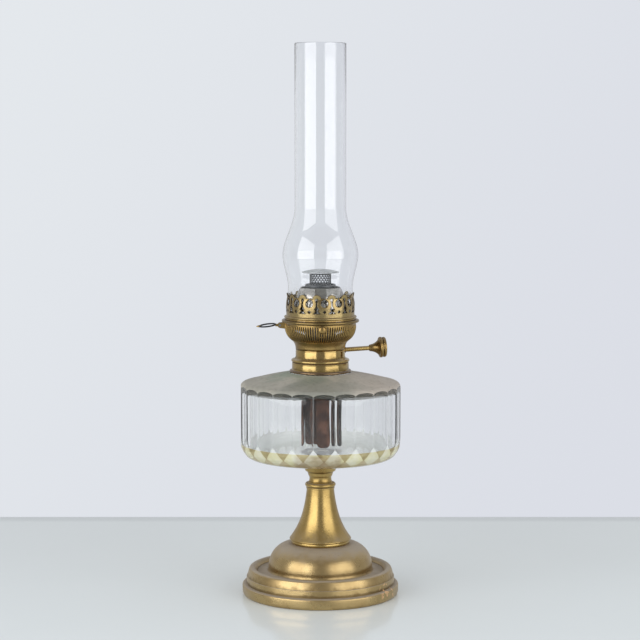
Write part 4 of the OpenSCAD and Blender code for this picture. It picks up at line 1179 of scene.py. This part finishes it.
def crown_metal(u, v):
    """Distance to the nearest cut in the crown: ring medallions with a pierced window and
    a diamond, between lobed prongs with a keyhole over a spade-shaped opening."""
    h = np.interp(v, crown_along, crown_wall[:, 1])
    x = np.abs(to_nearest(u, crown_first))
    y = np.abs(to_nearest(u, crown_first + crown_half))
    ring = np.hypot(x, h - window_h)
    lobe = np.hypot(y, h - lobe_h)
    body = np.maximum(np.maximum(window_r + window_bar - ring, lobe_r - lobe), window_h - h)
    diamond = (x + np.abs(h - 6.8) - 1.34) / math.sqrt(2)
    notch = np.maximum(x - (0.3 + (h - window_h - window_r + 0.4) / 8), window_h + window_r - 0.4 - h)
    keyhole = np.minimum(np.hypot(y, h - lobe_h + 0.3) - 1.25,
                         np.maximum(y - 0.6, np.abs(h - 13.4) - 3.0))
    flare = np.maximum(0.88 * (y - 2.1 + (h - 8.6) * 0.536), np.abs(h - 10.0) - 1.4)
    spade = np.maximum(0.69 * (y - np.maximum(1.1, 3 - (h - 5.4) * 1.056)), np.abs(h - 7.2) - 1.8)
    cuts = [ring - window_r, diamond, notch, keyhole, flare, spade]
    return np.minimum(body, np.min(cuts, axis=0))


def crown_place(u, v):
    """The crown's outline carried round: u is the bearing at crown_r, v the way up."""
    r, z = np.interp(v, crown_along, crown_wall[:, 0]), np.interp(v, crown_along, crown_wall[:, 1])
    return r * np.cos(u / crown_r), r * np.sin(u / crown_r), crown_z + z


def make_crown():
    """Crown of the gallery, cut from one sheet; it is darker at its cut edges."""
    u = np.linspace(0, TURN * crown_r, MEDALLIONS * 36 + 1) + crown_r * crown_first
    v = np.linspace(0, crown_along[-1], 70)
    made = pierced("crown", u, v, crown_metal, crown_place, gallery_brass, wear=-0.32)
    dressed(thicken(made, 0.6), "gallery", "gallery_crown")


make_crown()


# Winder and finger loop

def winder_profiles():
    """Outlines of the shaft and of the trumpet knob, along the winder's axis."""
    shaft_r, shaft_near, shaft_far, knob_near = 1.85, 13.0, 50.7, 41.02
    shaft = outline([(0.0, shaft_near), (shaft_r, shaft_near), (shaft_r, shaft_far), (0.0, shaft_far)])
    knob = outline(
        [(0.0, 0.0), (2.6, 0.0)],
        curve((2.75, 0.6), (3.5, 6.2), (7.4, 8.28), 24),
        arc((7.634, 9.66), 0.966, 1.38, -70, 66, 14),
        [(7.95, 11.04)],
        arc((7.434, 12.42), 0.966, 1.38, -66, 80, 14),
        [(4.9, 13.75), (4.73, 13.2), (4.2, 13.05), (1.6, 13.15), (1.3, 13.5), (0.0, 13.6)],
    )
    return rounded(shaft, 0.3), rounded(knob + [0, knob_near], 0.2)


def make_winder():
    """Shaft and knob, placed along the axis of the joint that turns them."""
    turn = joint("knob_turn")
    origin, axis = np.array(turn["pos_m"]) / MM, turn["axis"]
    shaft, knob = [placed(lathe(p, n=n), origin, axis) for p, n in zip(winder_profiles(), (48, 96))]
    piece("shaft", [shaft], [satin_brass], "winder", "winder_shaft")
    piece("knob", [knob], [aged_brass], "winder", "winder_knob")


def loop_patches():
    """Wire ring that hangs a little outwards and leans forwards, with a drop of metal at
    its far end."""
    centre, wire_ring_r, wire_r = np.array([-43.6, 0.0, 224.3]), 6.6, 0.65
    droop, roll = math.radians(7), math.radians(4)
    around = np.linspace(0, TURN, 97)[None, :]
    wire = np.linspace(0, TURN, 17)[:, None]
    reach_out = wire_ring_r + wire_r * np.cos(wire)
    x, y = reach_out * np.cos(around), reach_out * np.sin(around)
    z = np.broadcast_to(wire_r * np.sin(wire), x.shape)
    level, slope = math.cos(droop), math.sin(droop)
    droops = np.array([[level, 0, slope], [0, 1, 0], [-slope, 0, level]])
    level, slope = math.cos(roll), math.sin(roll)
    leans = np.array([[1, 0, 0], [0, level, slope], [0, -slope, level]])
    tilt = leans @ droops
    ring = centre + np.stack([x, y, z], -1) @ tilt
    far_end = centre + np.array([-wire_ring_r, 0, 0]) @ tilt
    drop = outline(
        arc((0.0, 0.0), 1.0, 1.2, -90, 20, 10),
        curve((0.9, 0.6), (0.5, 2.4), (0.0, 3.0), 8),
    )
    drop_grid, _, _ = placed(lathe(drop, n=32), far_end, [-1.0, 0.0, -0.07])
    return [(ring, 0, 0.0), (drop_grid, 1, 0.0)]


make_winder()
piece("finger_loop", loop_patches(), [sooty_steel, aged_brass], "lever", "lever_loop")


# Chimney

def chimney_profile():
    """Seat, bulge and straight flue with a fire-polished lip, blown to an even wall."""
    seat_r, flue_r, wall = 26.6, 21.1, 1.2
    belly_z, bulge_z, flue_z = crown_z + 24.4, crown_z + 52.4, crown_z + 91.9
    outside = outline(
        [(seat_r, crown_z), (seat_r, crown_z + 12), (seat_r, belly_z)],
        ease(seat_r, belly_z, bulge_r, bulge_z),
        ease(bulge_r, bulge_z, flue_r, flue_z, lead=0.9),
        [(flue_r, 0.5 * (flue_z + chimney_z)), (flue_r, chimney_z - wall / 2)],
    )
    lip = arc((flue_r - wall / 2, chimney_z - wall / 2), wall / 2, wall / 2, 15, 165, 10)
    inside = outside[::-1] - [wall, 0]
    return section(0.3, outside, lip, inside, least_turn=40)


blown_tube = lathe(chimney_profile(), n=320)
piece("chimney_tube", [blown_tube], [chimney_glass], "chimney", "chimney")


# Wick

TAIL_PLACES = ((1.8, -12.0), (13.5, -1.2), (-5.0, 4.5), (-14.0, 0.0))
TAIL_TURNS = (0, 76, 176, 264)
wick_low_z, wick_high_z = low_z("wick"), high_z("wick")
in_tube = points_of("wick")[points_of("wick")[:, 2] > tube_bottom_z]
tape_out_r = np.hypot(*in_tube[:, :2].T).max()
tape_in_r = np.hypot(*in_tube[:, :2].T).min()
tape_middle_r, tape_t = (tape_out_r + tape_in_r) / 2, tape_out_r - tape_in_r
tape_width = TURN * tape_middle_r * 0.94
part_z = tube_bottom_z - 9.2
tape_bearing = math.atan2(*joint("knob_turn")["axis"][1::-1])


def smooth(t):
    """Smooth step from 0 to 1, level at both ends."""
    t = np.clip(t, 0, 1)
    return t * t * (3 - 2 * t)


def tape_half(z):
    """Half of the angle that the tape goes round; it leaves a wide gap below the air duct."""
    duct_half_w, duct_h, taper_h = 4.4, 34.3, 4
    wide = math.asin(duct_half_w / tape_in_r)
    narrow = np.clip((z - burner_z - duct_h) / taper_h, 0, 1)
    return math.pi - (wide + (math.radians(2) - wide) * narrow)


def tape_tube(u, z, side):
    """Tape bent into an open tube: u from -1 to 1 across it, side -1 inside or 1 outside."""
    a = tape_bearing + u * tape_half(z)
    r = tape_middle_r + side * tape_t / 2
    return np.stack(np.broadcast_arrays(r * np.cos(a), r * np.sin(a), z), -1)


def tail_strip(w, z, side, place, turn):
    """Free tail of the tape: w from -1 to 1 across a strip that stands about place, turned
    by turn degrees from the front, bowed outwards and waving a little on its way down."""
    tail_half_w, bow_h, wave_h, waves = tape_width / 8, 1.2, 0.4, 0.11
    along, out = np.array([math.cos(turn), math.sin(turn)]), np.array([math.sin(turn), -math.cos(turn)])
    wave = wave_h * np.sin(waves * z + turn)
    across = w * tail_half_w + wave
    bow = bow_h * (1 - w ** 2) + 0.5 * wave + side * tape_t / 2
    x = place[0] + across * along[0] + bow * out[0]
    y = place[1] + across * along[1] + bow * out[1]
    return np.stack(np.broadcast_arrays(x, y, z), -1)


def make_wick():
    """Tube of tape that parts below the burner into four tails with rounded corners: a
    point goes from its place on the tube to its place on the tail by a smooth step. The
    tails part below what the tube takes in, and pass the neck, when the wick is raised."""
    w = np.linspace(-1, 1, 25)[None, :]
    rise = np.linspace(0, 1, 150)[:, None]
    corner = 4.5 * (1 - np.sqrt(1 - np.clip((np.abs(w) - 0.4) / 0.6, 0, 1) ** 2))
    z = wick_low_z + corner + (wick_high_z - wick_low_z - corner) * rise
    share = smooth((part_z - z) / 8)[:, :, None]
    below = np.count_nonzero(z[:, 0] < part_z) + 1
    patches = []
    for number, (place, turn) in enumerate(zip(TAIL_PLACES, np.radians(TAIL_TURNS))):
        u = -1 + 0.5 * number + 0.25 * (w + 1)
        outer, inner = [
            (1 - share) * tape_tube(u, z, side) + share * tail_strip(w, z, side, place, turn)
            for side in (1, -1)
        ]
        first = None if number == 0 else below
        last = None if number == 3 else below
        grids = [
            (outer, u), (inner[:, ::-1], u[:, ::-1]),
            (np.stack([inner[:first, 0], outer[:first, 0]], 1), u[:, :1]),
            (np.stack([outer[:last, -1], inner[:last, -1]], 1), u[:, -1:]),
            (np.stack([inner[0], outer[0]]), u), (np.stack([outer[-1], inner[-1]]), u),
        ]
        patches += [(grid, 0, across) for grid, across in grids]
    made = piece("wick_tape", patches, [wick_cloth], "wick", "wick", crease=50)
    corners = np.empty(len(made.data.loops), np.int32)
    made.data.loops.foreach_get("vertex_index", corners)
    flat = np.empty(len(made.data.vertices) * 3)
    made.data.vertices.foreach_get("co", flat)
    across = np.empty(len(made.data.vertices))
    made.data.attributes["relief"].data.foreach_get("value", across)
    along = (flat[2::3] / MM - wick_low_z) / (wick_high_z - wick_low_z)
    tape = np.stack([(across + 1) / 2, along], -1)
    made.data.uv_layers.new(name="tape").data.foreach_set("uv", tape[corners].ravel().astype(np.float32))


make_wick()


# Table, camera and light

def make_table():
    """Pale polished table top that ends behind the lamp."""
    near, far, half = -2.4, 0.32, 2.4
    mesh = bpy.data.meshes.new("table_top")
    corners = [(-half, near, 0), (half, near, 0), (half, far, 0), (-half, far, 0)]
    mesh.from_pydata(corners, [], [(0, 1, 2, 3)])
    made, w, shader, _ = material("table_top")
    top = w.blend(w.noise(w.here(), 6.0, 3.0, 0.5), srgb(231, 238, 240), srgb(235, 242, 244))
    # Painted shade: a darker strip along the back edge of the top
    rear_edge_shade = w.step(w.parts(w.here())["Y"], far - 0.03, far - 0.01)
    w.feed(shader["Base Color"], w.cover(top, srgb(196, 202, 206), rear_edge_shade, 0.5))
    shader["Roughness"].default_value = 0.13
    shader["Specular IOR Level"].default_value = 0.4
    mesh.materials.append(made)
    new_object("table_top", mesh)


def make_camera():
    """Camera in front of the lamp, a little above its middle and looking slightly down."""
    down = 5.51
    data = bpy.data.cameras.new("camera")
    data.lens = 109.6
    data.sensor_width = 36.0
    data.shift_x = -0.0006
    made = new_object("camera", data)
    made.location = (0.0, -1.6, 0.383)
    made.rotation_euler = (math.radians(90 - down), 0.0, 0.0)
    bpy.context.scene.camera = made


def make_softbox(name, bearing, power, distance=1.3):
    """Wide soft lamp that faces the lamp's axis; bearing is in degrees from the front."""
    data = bpy.data.lights.new(name, "AREA")
    data.shape = "RECTANGLE"
    data.size = 1.38
    data.size_y = 1.1
    data.energy = power
    made = new_object(name, data)
    away = math.radians(bearing)
    made.location = (distance * math.sin(away), -distance * math.cos(away), 0.6)
    made.rotation_euler = (math.radians(90), 0.0, away)
    made.visible_camera = False


def make_world():
    """Pale backdrop for what is seen straight or through glass, a brighter room behind
    than in front for what metal and glass mirror, and even light from all round."""
    world = bpy.data.worlds.new("studio")
    bpy.context.scene.world = world
    world.use_nodes = True
    world.node_tree.nodes.clear()
    w = Wiring(world.node_tree)
    way = w.parts(w.node("ShaderNodeTexCoord").outputs["Generated"])
    ray = w.node("ShaderNodeLightPath").outputs
    slant = w.minus(w.times(way["X"], 1.6), w.times(way["Z"], 1.2))
    backdrop = w.blend(w.step(slant, -0.5, 0.5), srgb(229, 233, 237), srgb(219, 222, 230))
    mirrored = w.blend(w.step(way["Y"], -0.5, 0.5), (0.3, 0.3, 0.31, 1.0), (0.55, 0.56, 0.58, 1.0))
    bent = w.blend(w.step(way["Y"], 0.2, 0.8), (0.42, 0.44, 0.43, 1.0), backdrop)
    colour = w.blend(ray["Is Glossy Ray"], (0.58, 0.585, 0.595, 1.0), mirrored)
    colour = w.blend(ray["Is Transmission Ray"], colour, bent)
    light = w.node("ShaderNodeBackground")
    w.feed(light.inputs[0], w.blend(ray["Is Camera Ray"], colour, backdrop))
    w.tree.links.new(light.outputs[0], w.node("ShaderNodeOutputWorld").inputs[0])


make_table()
make_camera()
make_softbox("softbox_left", -47.5, 10.8)
make_softbox("softbox_right", 49.0, 8.5)
make_world()
bpy.context.scene.view_settings.view_transform = "Standard"
